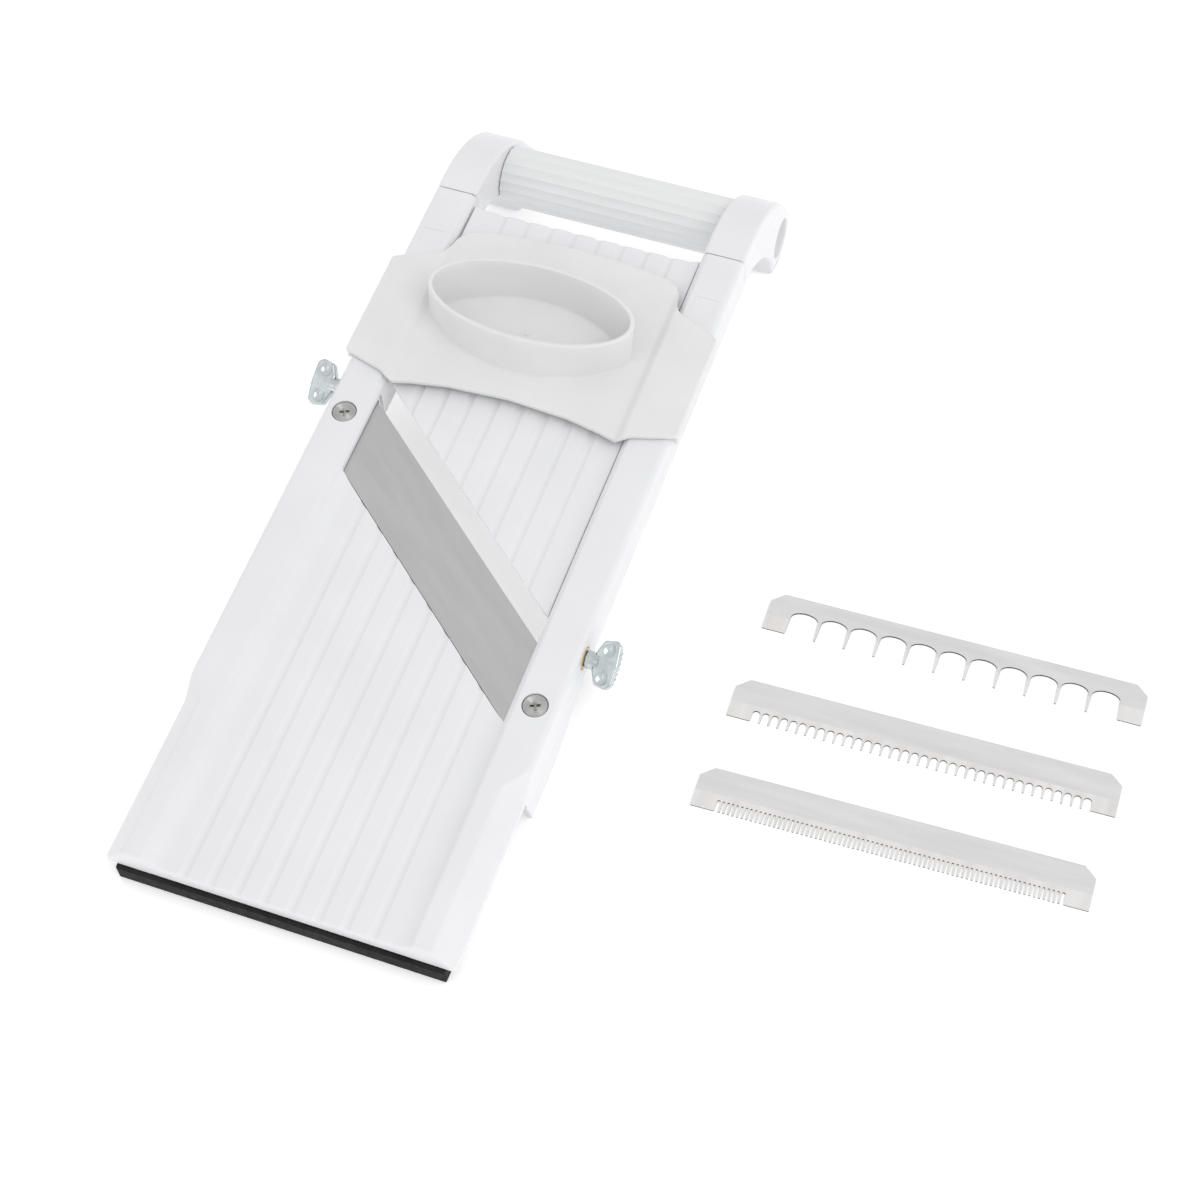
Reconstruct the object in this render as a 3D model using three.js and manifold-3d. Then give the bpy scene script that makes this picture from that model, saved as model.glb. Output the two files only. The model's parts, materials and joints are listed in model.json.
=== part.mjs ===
// Mandoline slicer with a hand guard and three loose comb blades.
// Millimetres. The slicer is modelled flat in its own axes (x across, y from the near end to the
// handle, z up from the rail tops), then leaned back on its feet so that it stands on z = 0.

import * as THREE from 'three';
import { mergeVertices } from 'three/addons/utils/BufferGeometryUtils.js';
import Module from 'manifold-3d';

const wasm = await Module();
wasm.setup();

// ---------------------------------------------------------------- driving dimensions
const LEAN = THREE.MathUtils.degToRad(6);     // angle between the rail tops and the table
const STAND_DROP = 18;                        // rail top to table, measured at the near end
const GAP = 0.3;                              // clearance kept between touching pieces

const RAIL_IN = 47.2;                         // half of the width between the rails' inner walls
const RAIL_EDGE = 49.2;                       // half width where the rails' sloped inner edge ends
const RAIL_SLOPE = 1.7;                       // height of that sloped edge
const RAIL_OUT = 63.8;                        // half of the width over the rails
const RAIL_LENGTH = 304;                      // near end to the seam with the arms
const WALL = 2.5;                             // moulded wall thickness
const WALL_DEPTH = 16;                        // how far the side walls hang down
const NEAR_DEPTH = 9.8;                       // wall depth beside the near end
const NEAR_LENGTH = 65;                       // length of that shallow stretch
const EDGE_ROUND = 2;                         // round on the rails' outer top edge
const GRIP_END = 73;                          // where the bevelled grip runs out
const GRIP_FULL = 62;                         // where it reaches its full size
const GRIP_TOP = 56.3;                        // half width of the rail top beside the grip
const GRIP_DEPTH = 7.2;                        // height of the grip's bevel

const PLATE_TOP = -3.6;                       // surface of the fixed plate
const PLATE_THICK = 2.8;
const GROOVE_COUNT = 8;                       // shallow grooves let wet food slide
const GROOVE_PITCH = 9.85;
const GROOVE_HALF = 1.75;                     // half of a groove's width
const GROOVE_DEPTH = 0.8;
const COVE_START = 40.5;                      // where the plates begin to curve up to the rails
const COVE_RADIUS = 12.3;

const SLOPE = 0.8447;                         // the blade runs across at about 40 degrees
const BACK_AT_CENTRE = 128.5;                 // y of the blade's back edge on the centre line
const CUT_AT_CENTRE = 161.95;                 // y of the cutting edge on the centre line
const RAMP_AT_CENTRE = 172.8;                 // y of the adjustable plate's edge there
const BLADE_TOP = -3.7;
const BLADE_THICK = 1.2;
const BLADE_HALF = 59.5;                      // half of the blade's reach under the rails
const LEDGE_TOP = BLADE_TOP - BLADE_THICK - 0.4;

const RAMP_TOP = -4.4;                        // surface of the adjustable plate at its finest setting
const RAMP_THICK = 2.6;
const RAMP_HALF = 46.6;
const RAMP_FAR = 301.5;
const HINGE_Y = 294;
const HINGE_Z = -10;
const HINGE_PIN = 1.5;

const SCREW_Y = 240;                          // the adjusting screw stands under the centre line
const SCREW_RADIUS = 3;
const BRIDGE_TOP = -17.8;
const BRIDGE_THICK = 5;
const BLOCK = { x: 8, y: 6, top: -7.7, bottom: -12 };
const KNOB = { radius: 13, top: -26, bottom: -36.8 };

const ARM_START = RAIL_LENGTH + GAP;
const ARM_CENTRE = new THREE.Vector2(310, -55.5);
const ARM_RADIUS = 55.5;
const TOE_CENTRE = new THREE.Vector2(352.5, -41.5);
const TOE_RADIUS = 12.2;
const TOE_SEAT = -53;                         // where the rubber foot meets the arm
const FOOT_PLUG_Y = 351.5;
const SOCKET_RADIUS = 8.2;
const TUBE_CENTRE = new THREE.Vector2(335.5, -22);
const TUBE_RADIUS = 12;
const TUBE_BORE = 9.4;

const THUMB_Z = -8;
const THUMB_RIGHT_Y = 124;
const THUMB_LEFT_Y = 206;
const THUMB_TURN = THREE.MathUtils.degToRad(26);
const INSERT_FLANGE = 5;                      // radius of the brass inserts' inner flange
const INSERT_START = 59.9;                    // half width where that flange begins

const GUARD_TOP = 0.6;                        // floor of the guard between the rails
const GUARD_THICK = 2.2;
const GUARD_WING_TOP = 2.6;                   // top of the guard over the rails
const GUARD_OUT = 66.2;
const CUP_CENTRE = new THREE.Vector2(-2.2, 244.8);
const CUP_LEAN = 4.2;                         // how far the rim sits behind the floor
const CUP_HALF_LENGTH = 40.8;
const CUP_HALF_WIDTH = 18.2;
const CUP_HEIGHT = 16.5;
const CUP_WALL = 1.8;

const COMB_LENGTH = 140;
const COMB_HEIGHT = 17.1;
const COMB_THICK = 0.7;
const COMB_TAB = 8.7;                         // plain end on each side of the teeth

const FOOT_Y = 3;                             // middle of the rubber strip, where the origin is

// The blade's back edge, the cutting edge and the ramp's edge all run parallel across the plates.
const backEdge = (x) => BACK_AT_CENTRE - SLOPE * x;
const cutEdge = (x) => CUT_AT_CENTRE - SLOPE * x;
const rampEdge = (x) => RAMP_AT_CENTRE - SLOPE * x;
// Height of the table under the slicer, in the slicer's own axes.
const tableZ = (y) => -STAND_DROP - y * Math.tan(LEAN);

// ---------------------------------------------------------------- shape helpers
function solidOf(geometry) {
  const bare = geometry.clone();
  bare.deleteAttribute('normal');
  bare.deleteAttribute('uv');
  const merged = mergeVertices(bare, 1e-4);
  return new wasm.Manifold(new wasm.Mesh({
    numProp: 3,
    vertProperties: new Float32Array(merged.attributes.position.array),
    triVerts: new Uint32Array(merged.index.array),
  }));
}

function geometryOf(body) {
  const mesh = body.getMesh();
  const geometry = new THREE.BufferGeometry();
  geometry.setAttribute('position', new THREE.BufferAttribute(mesh.vertProperties, 3));
  geometry.setIndex(new THREE.BufferAttribute(mesh.triVerts, 1));
  geometry.computeVertexNormals();
  return geometry;
}

const joined = (bodies) => bodies.reduce((sum, body) => sum.add(body));
const cutFrom = (body, cutters) => cutters.reduce((rest, cutter) => rest.subtract(cutter), body);

function extruded(points, depth) {
  const shape = new THREE.Shape(points.map(([u, v]) => new THREE.Vector2(u, v)));
  return new THREE.ExtrudeGeometry(shape, { depth, bevelEnabled: false, steps: 1 });
}

// A prism standing on the plan outline (x, y), from z0 up to z1.
function planPrism(points, z0, z1) {
  return solidOf(extruded(points, z1 - z0).translate(0, 0, z0));
}

// A prism across the slicer, from the side outline (y, z), between x0 and x1.
function sidePrism(points, x0, x1) {
  const turn = new THREE.Matrix4().makeBasis(
    new THREE.Vector3(0, 1, 0), new THREE.Vector3(0, 0, 1), new THREE.Vector3(1, 0, 0));
  return solidOf(extruded(points, x1 - x0).applyMatrix4(turn).translate(x0, 0, 0));
}

// A prism along the slicer, from the end outline (x, z), between y0 and y1.
function endPrism(points, y0, y1) {
  const turn = new THREE.Matrix4().makeBasis(
    new THREE.Vector3(1, 0, 0), new THREE.Vector3(0, 0, 1), new THREE.Vector3(0, -1, 0));
  return solidOf(extruded(points, y1 - y0).applyMatrix4(turn).translate(0, y1, 0));
}

function box(x0, x1, y0, y1, z0, z1) {
  const geometry = new THREE.BoxGeometry(x1 - x0, y1 - y0, z1 - z0);
  return solidOf(geometry.translate((x0 + x1) / 2, (y0 + y1) / 2, (z0 + z1) / 2));
}

// A solid of revolution about the vertical line through (x, y); rings are [radius, z] pairs.
function turned(rings, x, y, segments = 20) {
  const low = rings[0][1];
  const high = rings[rings.length - 1][1];
  const profile = [[0, low], ...rings, [0, high]].map(([r, z]) => new THREE.Vector2(r, z));
  return solidOf(new THREE.LatheGeometry(profile, segments).rotateX(Math.PI / 2).translate(x, y, 0));
}

// The same, about the line through (y, z) that runs across the slicer; rings are [radius, x].
function turnedAcross(rings, y, z, segments = 20) {
  const low = rings[0][1];
  const high = rings[rings.length - 1][1];
  const profile = [[0, low], ...rings, [0, high]].map(([r, x]) => new THREE.Vector2(r, x));
  return solidOf(new THREE.LatheGeometry(profile, segments).rotateZ(-Math.PI / 2).translate(0, y, z));
}

const rod = (r, z0, z1, x, y, segments) => turned([[r, z0], [r, z1]], x, y, segments);
const rodAcross = (r, x0, x1, y, z, segments) => turnedAcross([[r, x0], [r, x1]], y, z, segments);

// A solid through a row of outlines that all have the same number of points, closed at both ends.
function loft(sections) {
  const count = sections[0].length;
  const flat = sections[0].map(([x, y, z]) => new THREE.Vector3(x, y, z));
  const along = new THREE.Vector3(...sections[sections.length - 1][0]).sub(flat[0]);
  const side = Math.abs(along.y) > Math.abs(along.z) ? ['x', 'z'] : ['x', 'y'];
  const outline = flat.map((p) => new THREE.Vector2(p[side[0]], p[side[1]]));
  const caps = THREE.ShapeUtils.triangulateShape(outline, []);
  const sameWay = THREE.ShapeUtils.isClockWise(caps[0].map((i) => outline[i]))
    === THREE.ShapeUtils.isClockWise(outline);
  const triangles = [];
  const last = (sections.length - 1) * count;
  for (const [a, i, j] of caps) {
    const [b, c] = sameWay ? [i, j] : [j, i];
    triangles.push(a, c, b, last + a, last + b, last + c);
  }
  for (let s = 0; s < sections.length - 1; s += 1) {
    for (let i = 0; i < count; i += 1) {
      const a = s * count + i;
      const b = s * count + ((i + 1) % count);
      triangles.push(a, b, b + count, a, b + count, a + count);
    }
  }
  const geometry = new THREE.BufferGeometry();
  const positions = new Float32Array(sections.flat(2));
  geometry.setAttribute('position', new THREE.BufferAttribute(positions, 3));
  geometry.setIndex(triangles);
  return solidOf(outwards(geometry));
}

// Turns a closed geometry inside out where its volume comes out negative.
function outwards(geometry) {
  const position = geometry.attributes.position;
  const index = geometry.index.array;
  const [a, b, c] = [new THREE.Vector3(), new THREE.Vector3(), new THREE.Vector3()];
  let volume = 0;
  for (let i = 0; i < index.length; i += 3) {
    a.fromBufferAttribute(position, index[i]);
    b.fromBufferAttribute(position, index[i + 1]);
    c.fromBufferAttribute(position, index[i + 2]);
    volume += a.dot(b.cross(c));
  }
  if (volume < 0) {
    for (let i = 0; i < index.length; i += 3) {
      [index[i], index[i + 1]] = [index[i + 1], index[i]];
    }
  }
  return geometry;
}

const mirrored = (body) => body.mirror([1, 0, 0]);

// ---------------------------------------------------------------- materials
const paint = (color, roughness, metalness = 0) =>
  () => new THREE.MeshStandardMaterial({ color, roughness, metalness });
const whitePlastic = paint(0xf0f0f2, 0.35);
const tubePlastic = paint(0xe4e5e6, 0.45);
const frostedPlastic = paint(0xdedfdc, 0.5);
const greyPlastic = paint(0xc9cbcd, 0.5);
const blackRubber = paint(0x161618, 0.85);
const bladeSteel = paint(0xbbbbbc, 0.38, 1);
const combSteel = paint(0xcfccca, 0.35, 1);
const zinc = paint(0xb4bcbc, 0.3, 1);
const screwSteel = paint(0xa9aaa6, 0.35, 1);
const brass = paint(0xb08d4a, 0.35, 1);

const slicer = new THREE.Group();
const object = new THREE.Group();

function place(group, name, body, material) {
  const mesh = new THREE.Mesh(geometryOf(body), material());
  mesh.name = name;
  group.add(mesh);
  return mesh;
}

// ---------------------------------------------------------------- frame
// Share of the full grip bevel at a distance y from the near end.
const gripShare = (y) => THREE.MathUtils.smoothstep(GRIP_FULL + GRIP_END - y, GRIP_FULL, GRIP_END);

const RAIL_STATIONS = [0, GRIP_FULL, 65, 67.5, 70, GRIP_END, RAIL_LENGTH];

function railOutline(y) {
  const grip = gripShare(y);
  const corner = [0, 1, 2, 3].map((step) => {
    const share = step / 3;
    const angle = share * Math.PI / 2;
    const roundX = RAIL_OUT - EDGE_ROUND + EDGE_ROUND * Math.sin(angle);
    const roundZ = -EDGE_ROUND + EDGE_ROUND * Math.cos(angle);
    const bevelX = GRIP_TOP + (RAIL_OUT - GRIP_TOP) * share;
    const bevelZ = -GRIP_DEPTH * share;
    return [roundX + (bevelX - roundX) * grip, y, roundZ + (bevelZ - roundZ) * grip];
  });
  return [
    [RAIL_IN, y, -WALL_DEPTH], [RAIL_IN, y, -RAIL_SLOPE], [RAIL_EDGE, y, 0],
    ...corner, [RAIL_OUT, y, -WALL_DEPTH],
  ];
}

function channelOutline(y) {
  const grip = gripShare(y);
  const wall = RAIL_OUT - WALL;
  const below = -WALL_DEPTH - 1;
  const chamfer = 0.6 + 5 * grip;
  return [
    [RAIL_IN + WALL, y, below], [RAIL_IN + WALL, y, -WALL],
    [wall - chamfer, y, -WALL], [wall, y, -WALL - chamfer], [wall, y, below],
  ];
}

// The deep, slightly flared skirt that hooks over the rim of a bowl.
function skirt() {
  const stations = [[NEAR_LENGTH + 0.6, 22], [100, 21.6], [120, 19.6], [133, 16.4]];
  return loft(stations.map(([y, depth]) => {
    const flare = 1.2 * (depth - 15.4) / 6.6;
    return [
      [RAIL_OUT - WALL, y, -15], [RAIL_OUT - 0.2, y, -15],
      [RAIL_OUT + flare, y, -depth], [RAIL_OUT + flare - WALL, y, -depth],
    ];
  }));
}

function rail() {
  const outer = loft(RAIL_STATIONS.map(railOutline));
  const channel = loft([WALL, ...RAIL_STATIONS.slice(1, -1), RAIL_LENGTH + 1].map(channelOutline));
  const near = box(RAIL_IN - 1, RAIL_OUT + 2, -1, NEAR_LENGTH, -WALL_DEPTH - 2, -NEAR_DEPTH);
  return joined([cutFrom(outer, [channel, near]), skirt()]);
}

// Cutters for the eight shallow rounded grooves in a plate whose surface is at the given height.
function grooves(top, y0, y1) {
  const first = -(GROOVE_COUNT - 1) / 2;
  const bowl = [-1, -0.6, -0.2, 0.2, 0.6, 1].map((share) => [
    share * GROOVE_HALF, top - GROOVE_DEPTH * (1 - share * share),
  ]);
  const outline = [...bowl, [GROOVE_HALF, top + 0.5], [-GROOVE_HALF, top + 0.5]];
  return Array.from({ length: GROOVE_COUNT }, (_, i) => {
    const x = (first + i) * GROOVE_PITCH;
    return endPrism(outline.map(([dx, z]) => [x + dx, z]), y0, y1);
  });
}

// Wide hollow curve that carries a plate's surface up towards the rail.
function sideCove(edge, base, y0, y1) {
  const arc = [0, 1, 2, 3, 4, 5].map((step) => {
    const run = (edge - COVE_START) * step / 5;
    return [COVE_START + run, base + COVE_RADIUS - Math.sqrt(COVE_RADIUS ** 2 - run ** 2)];
  });
  return endPrism([[COVE_START, base - 0.4], [edge, base - 0.4], ...arc.reverse()], y0, y1);
}

// Everything on the near side of a line that runs parallel to the blade.
function nearSide(edge, margin) {
  const reach = 80;
  return planPrism([
    [-reach, -10], [reach, -10], [reach, edge(reach) - margin], [-reach, edge(-reach) - margin],
  ], -60, 20);
}

// A band that runs across between two lines parallel to the blade.
function diagonalBand(low, high, half, z0, z1) {
  return planPrism([[-half, low(-half)], [half, low(half)], [half, high(half)], [-half, high(-half)]],
    z0, z1);
}

const BLADE_SCREWS = [
  { side: 'left', x: -56.1, y: 191.4 },
  { side: 'right', x: 55.7, y: 97 },
];

// Countersunk screw through rail, blade and ledge; grow makes its clearance hole.
function bladeScrew({ x, y }, grow) {
  return turned([
    [1.9 + grow, -15], [1.9 + grow, -2.6 - grow], [4.4 + grow, -1 - grow], [4.4 + grow, -0.4 + 3 * grow],
  ], x, y);
}

function frameSolid() {
  const reach = 48.2;
  const far = 215;
  const plate = box(-reach, reach, 0, far, PLATE_TOP - PLATE_THICK, PLATE_TOP);
  const cove = sideCove(RAIL_IN + 0.2, PLATE_TOP, 0, far);
  const surface = cutFrom(joined([plate, cove, mirrored(cove)]), grooves(PLATE_TOP, -1, far + 1))
    .intersect(nearSide(backEdge, GAP));
  const ledge = diagonalBand((x) => backEdge(x) - 6, (x) => cutEdge(x) - 6, 61.4,
    LEDGE_TOP - 3, LEDGE_TOP);
  const frontWall = box(-RAIL_IN, RAIL_IN, 0, WALL, -NEAR_DEPTH, PLATE_TOP - PLATE_THICK + 0.5);
  const stripSeat = box(-61.8, 61.8, 0, 9, -NEAR_DEPTH, -NEAR_DEPTH + 2);
  const bridge = box(-RAIL_IN - WALL, RAIL_IN + WALL, SCREW_Y - 8, SCREW_Y + 8,
    BRIDGE_TOP - BRIDGE_THICK, BRIDGE_TOP);
  const leg = box(RAIL_IN, RAIL_IN + WALL, SCREW_Y - 8, SCREW_Y + 8, BRIDGE_TOP - 1, -WALL_DEPTH + 1);
  const pocketTop = BLADE_TOP + GAP;
  const screwPads = BLADE_SCREWS.map(({ x, y }) => rod(5, pocketTop, -WALL + 0.1, x, y));
  const armBoss = rod(4, -8.9, -WALL + 0.1, ARM_SCREW.x, ARM_SCREW.y);
  const body = joined([
    rail(), mirrored(rail()), surface, ledge, frontWall, stripSeat,
    bridge, leg, mirrored(leg), ...screwPads, armBoss, mirrored(armBoss),
  ]);

  const bladePocket = diagonalBand((x) => backEdge(x) - GAP, (x) => cutEdge(x) + 0.6,
    BLADE_HALF + 0.5, LEDGE_TOP, pocketTop);
  const combSlot = diagonalBand((x) => cutEdge(x) + 1.4, (x) => cutEdge(x) + 3.2, 54.5,
    -WALL_DEPTH - 1, pocketTop);
  const screwHoles = BLADE_SCREWS.map((screw) => bladeScrew(screw, GAP));
  const insertHoles = THUMB_SCREWS.map(({ side, y }) => {
    const hole = turnedAcross([
      [3.2, 51], [3.2, INSERT_START - GAP - 0.01],
      [INSERT_FLANGE + GAP, INSERT_START - GAP], [INSERT_FLANGE + GAP, RAIL_OUT - WALL],
      [4 + GAP, RAIL_OUT - WALL + 0.01], [4 + GAP, 66],
    ], y, THUMB_Z);
    return side === 'left' ? mirrored(hole) : hole;
  });
  const pinHole = rodAcross(HINGE_PIN + GAP, 46, 51, HINGE_Y, HINGE_Z, 12);
  const bushHole = rod(BUSH_RADIUS + GAP, BRIDGE_TOP - BRIDGE_THICK - 1, BRIDGE_TOP + 1, 0, SCREW_Y);
  const armHole = rod(1.6 + GAP, -9.5, -4, ARM_SCREW.x, ARM_SCREW.y, 12);
  return cutFrom(body, [
    bladePocket, combSlot, ...screwHoles, ...insertHoles, pinHole, mirrored(pinHole), bushHole,
    armHole, mirrored(armHole),
  ]);
}

// ---------------------------------------------------------------- main blade and its screws
function mainBlade() {
  const across = Math.cos(Math.atan(SLOPE));
  const width = (CUT_AT_CENTRE - BACK_AT_CENTRE) * across;
  const bottom = BLADE_TOP - BLADE_THICK;
  const strip = sidePrism([
    [0, bottom], [width - 6, bottom], [width, BLADE_TOP - 0.65], [width, BLADE_TOP - 0.5],
    [width - 3.6, BLADE_TOP], [0, BLADE_TOP],
  ], -90, 90);
  const turn = -THREE.MathUtils.radToDeg(Math.atan(SLOPE));
  const laid = strip.rotate([0, 0, turn]).translate([0, BACK_AT_CENTRE, 0]);
  const trimmed = laid.intersect(box(-BLADE_HALF, BLADE_HALF, 40, 260, -10, 0));
  return cutFrom(trimmed, BLADE_SCREWS.map(({ x, y }) => rod(2.3, -6, 0, x, y)));
}

function phillipsRecess(x, y, top) {
  const arm = box(-2.1, 2.1, -0.45, 0.45, top - 1.3, top + 1);
  return arm.add(arm.rotate([0, 0, 90])).rotate([0, 0, 20]).translate([x, y, 0]);
}

function hexNut(x, y, z0, z1, across, bore) {
  const corner = across / Math.sqrt(3);
  return rod(corner, z0, z1, x, y, 6).subtract(rod(bore, z0 - 1, z1 + 1, x, y));
}

// ---------------------------------------------------------------- adjustable plate
function adjustablePlate() {
  const under = RAMP_TOP - RAMP_THICK;
  const plate = box(-RAMP_HALF, RAMP_HALF, 100, RAMP_FAR, under, RAMP_TOP);
  const cove = sideCove(RAMP_HALF, RAMP_TOP, 100, RAMP_FAR);
  const ramp = cutFrom(joined([plate, cove, mirrored(cove)]),
    [...grooves(RAMP_TOP, 99, RAMP_FAR + 1), nearSide(rampEdge, 0)]);
  const lug = joined([
    box(43, RAMP_HALF, HINGE_Y - 3.5, HINGE_Y + 3.5, HINGE_Z, under + 0.5),
    rodAcross(3.5, 43, RAMP_HALF, HINGE_Y, HINGE_Z, 16),
  ]).subtract(rodAcross(HINGE_PIN + GAP, 40, 50, HINGE_Y, HINGE_Z, 12));
  const hook = joined([
    box(BLOCK.x + 0.5, BLOCK.x + 2.5, SCREW_Y - 4, SCREW_Y + 4, BLOCK.bottom - 2.2, under + 0.5),
    box(BLOCK.x - 1.5, BLOCK.x + 1, SCREW_Y - 4, SCREW_Y + 4, BLOCK.bottom - 2.2, BLOCK.bottom - 0.7),
  ]);
  const spines = [-30, 30].map((x) => box(x - 1, x + 1, 205, 280, under - 2.5, under + 0.5));
  return joined([ramp, lug, mirrored(lug), hook, mirrored(hook), ...spines]);
}

// ---------------------------------------------------------------- thickness adjustment
const BUSH_RADIUS = 4.6;
const NECK_RADIUS = 2;

function adjustingScrew() {
  return turned([
    [SCREW_RADIUS, KNOB.bottom + 3], [SCREW_RADIUS, BLOCK.bottom - GAP],
    [NECK_RADIUS, BLOCK.bottom - GAP + 0.01], [NECK_RADIUS, BLOCK.top - 0.2],
  ], 0, SCREW_Y);
}

function adjustingKnob() {
  const lobes = 12;
  const outline = Array.from({ length: lobes * 4 }, (_, i) => {
    const angle = (i / (lobes * 4)) * Math.PI * 2;
    const radius = KNOB.radius - (i % 4 === 0 ? 1.1 : 0);
    return [radius * Math.cos(angle), SCREW_Y + radius * Math.sin(angle)];
  });
  const body = planPrism(outline, KNOB.bottom, KNOB.top - 2);
  const collar = rod(7, KNOB.top - 3, KNOB.top, 0, SCREW_Y);
  const bore = rod(SCREW_RADIUS + GAP, KNOB.bottom + 3 - GAP, KNOB.top + 1, 0, SCREW_Y);
  return joined([body, collar]).subtract(bore);
}

function liftBlock() {
  const { x, y, top, bottom } = BLOCK;
  return cutFrom(box(-x, x, SCREW_Y - y, SCREW_Y + y, bottom, top), [
    rod(NECK_RADIUS + 0.4, bottom - 1, top + 1, 0, SCREW_Y),
    rod(4.2, bottom + 2.2, top + 1, 0, SCREW_Y),
  ]);
}

function ring(outer, inner, z0, z1, x, y) {
  return rod(outer, z0, z1, x, y).subtract(rod(inner, z0 - 1, z1 + 1, x, y));
}

function bushing() {
  const bottom = BRIDGE_TOP - BRIDGE_THICK;
  const sleeve = rod(BUSH_RADIUS, bottom - 0.5, BRIDGE_TOP, 0, SCREW_Y);
  const flange = rod(7, bottom - 1.5, bottom - GAP, 0, SCREW_Y);
  return sleeve.add(flange).subtract(rod(SCREW_RADIUS + GAP, bottom - 3, BRIDGE_TOP + 1, 0, SCREW_Y));
}

// ---------------------------------------------------------------- thumb screws for the comb blades
const THUMB_SCREWS = [
  { side: 'left', y: THUMB_LEFT_Y },
  { side: 'right', y: THUMB_RIGHT_Y },
];

// Right-hand thumb screw on the x axis; the wing is a flat casting with a thick rounded rim.
function thumbScrew() {
  const shank = turnedAcross([[2.5, 52.5], [2.5, 64.4], [3.4, 64.41], [3.4, 68.4]], 0, 0);
  const wing = planPrism([
    [67.4, -3.4], [70, -8], [74.4, -9], [76, -7], [76.6, 0],
    [76, 7], [74.4, 9], [70, 8], [67.4, 3.4],
  ], -2.2, 2.2);
  return shank.add(wing);
}

function placedThumbScrew({ side, y }) {
  const turned26 = thumbScrew().rotate([THREE.MathUtils.radToDeg(THUMB_TURN), 0, 0]);
  const right = turned26.translate([0, y, THUMB_Z]);
  return side === 'left' ? mirrored(right) : right;
}

function clampInsert({ side, y }) {
  const sleeve = rodAcross(4, INSERT_START, RAIL_OUT + 0.3, y, THUMB_Z);
  const flange = rodAcross(INSERT_FLANGE, INSERT_START, RAIL_OUT - WALL - GAP, y, THUMB_Z);
  const right = sleeve.add(flange).subtract(rodAcross(2.5 + GAP, 56, 66, y, THUMB_Z));
  return side === 'left' ? mirrored(right) : right;
}

// ---------------------------------------------------------------- arms, handle and feet
const ARM_SCREW = { x: 55.6, y: 294 };

const onCircle = (centre, radius, degrees) => {
  const angle = THREE.MathUtils.degToRad(degrees);
  return [centre.x + radius * Math.cos(angle), centre.y + radius * Math.sin(angle)];
};

const arcPoints = (centre, radius, from, to, steps) =>
  Array.from({ length: steps + 1 }, (_, i) => onCircle(centre, radius, from + (to - from) * i / steps));

function armOutline() {
  const underside = new THREE.SplineCurve([
    [TOE_CENTRE.x - 10, TOE_SEAT], [341, -44], [331.5, -30], [316, -18.6], [ARM_START, -WALL_DEPTH],
  ].map(([y, z]) => new THREE.Vector2(y, z))).getPoints(12).map((p) => [p.x, p.y]);
  return [
    [ARM_START, 0],
    ...arcPoints(ARM_CENTRE, ARM_RADIUS, 90, 30, 13),
    ...arcPoints(TOE_CENTRE, TOE_RADIUS, 35, -70, 7),
    ...underside,
  ];
}

function arm() {
  const body = sidePrism(armOutline(), RAIL_IN, RAIL_OUT);
  const skin = 3;
  const hollow = sidePrism([
    [ARM_START + skin, -skin], ...arcPoints(ARM_CENTRE, ARM_RADIUS - skin, 90, 46, 7),
    [336, -44], [318, -34], [ARM_START + skin, -28],
  ], RAIL_IN + WALL, RAIL_OUT - WALL);
  const socket = rodAcross(SOCKET_RADIUS, 55.8, RAIL_OUT + 1, TOE_CENTRE.x, TOE_CENTRE.y, 28);
  const spigot = rodAcross(TUBE_BORE - 0.4, 39, RAIL_IN + 1, TUBE_CENTRE.x, TUBE_CENTRE.y, 28);
  const tongue = box(51, 60.3, 286, ARM_START + 1.5, -13.4, -9.4);
  return cutFrom(joined([body.subtract(hollow), spigot, tongue]), [
    socket,
    rod(1.6 + GAP, -15, -8, ARM_SCREW.x, ARM_SCREW.y, 12),
    rod(2.6, TOE_SEAT - 1, TOE_SEAT + 2.7, RAIL_IN + 8, FOOT_PLUG_Y, 12),
  ]);
}

function armScrew() {
  return turned([[3, -15.6], [3, -13.7], [1.6, -13.69], [1.6, -4.4]], ARM_SCREW.x, ARM_SCREW.y, 16);
}

function handleTube() {
  const flutes = 20;
  const outline = Array.from({ length: flutes * 2 }, (_, i) => {
    const radius = i % 2 === 0 ? TUBE_RADIUS : TUBE_RADIUS - 0.5;
    return onCircle(TUBE_CENTRE, radius, (i * 360) / (flutes * 2));
  });
  const half = RAIL_IN - GAP;
  return sidePrism(outline, -half, half)
    .subtract(rodAcross(TUBE_BORE, -half - 1, half + 1, TUBE_CENTRE.x, TUBE_CENTRE.y, 28));
}

function rearFoot() {
  const [near, far] = [345.5, 357.5];
  const pad = sidePrism([
    [near, TOE_SEAT - GAP], [near, tableZ(near)], [far, tableZ(far)], [far, TOE_SEAT - GAP],
  ], RAIL_IN + 1.5, RAIL_OUT - 1.5);
  return pad.add(rod(2.2, TOE_SEAT - 0.8, TOE_SEAT + 2.4, RAIL_IN + 8, FOOT_PLUG_Y, 12));
}

function frontStrip() {
  const [near, far] = [-1.6, 7.6];
  const top = -NEAR_DEPTH - GAP;
  return sidePrism([
    [near, top - 0.6], [near, tableZ(near)], [far, tableZ(far)], [far, top], [near + 0.6, top],
  ], -60.2, 60.2);
}

// ---------------------------------------------------------------- hand guard
// Right half of the guard's plan; the left half is its mirror image.
const GUARD_NEAR = [[0, 215.5], [24, 214], [37, 211.6], [45.6, 209.4]];
const GUARD_FAR = [[46.2, 272], [46, 281], [43.5, 285], [38, 287], [20, 289.4], [0, 290]];

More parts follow.
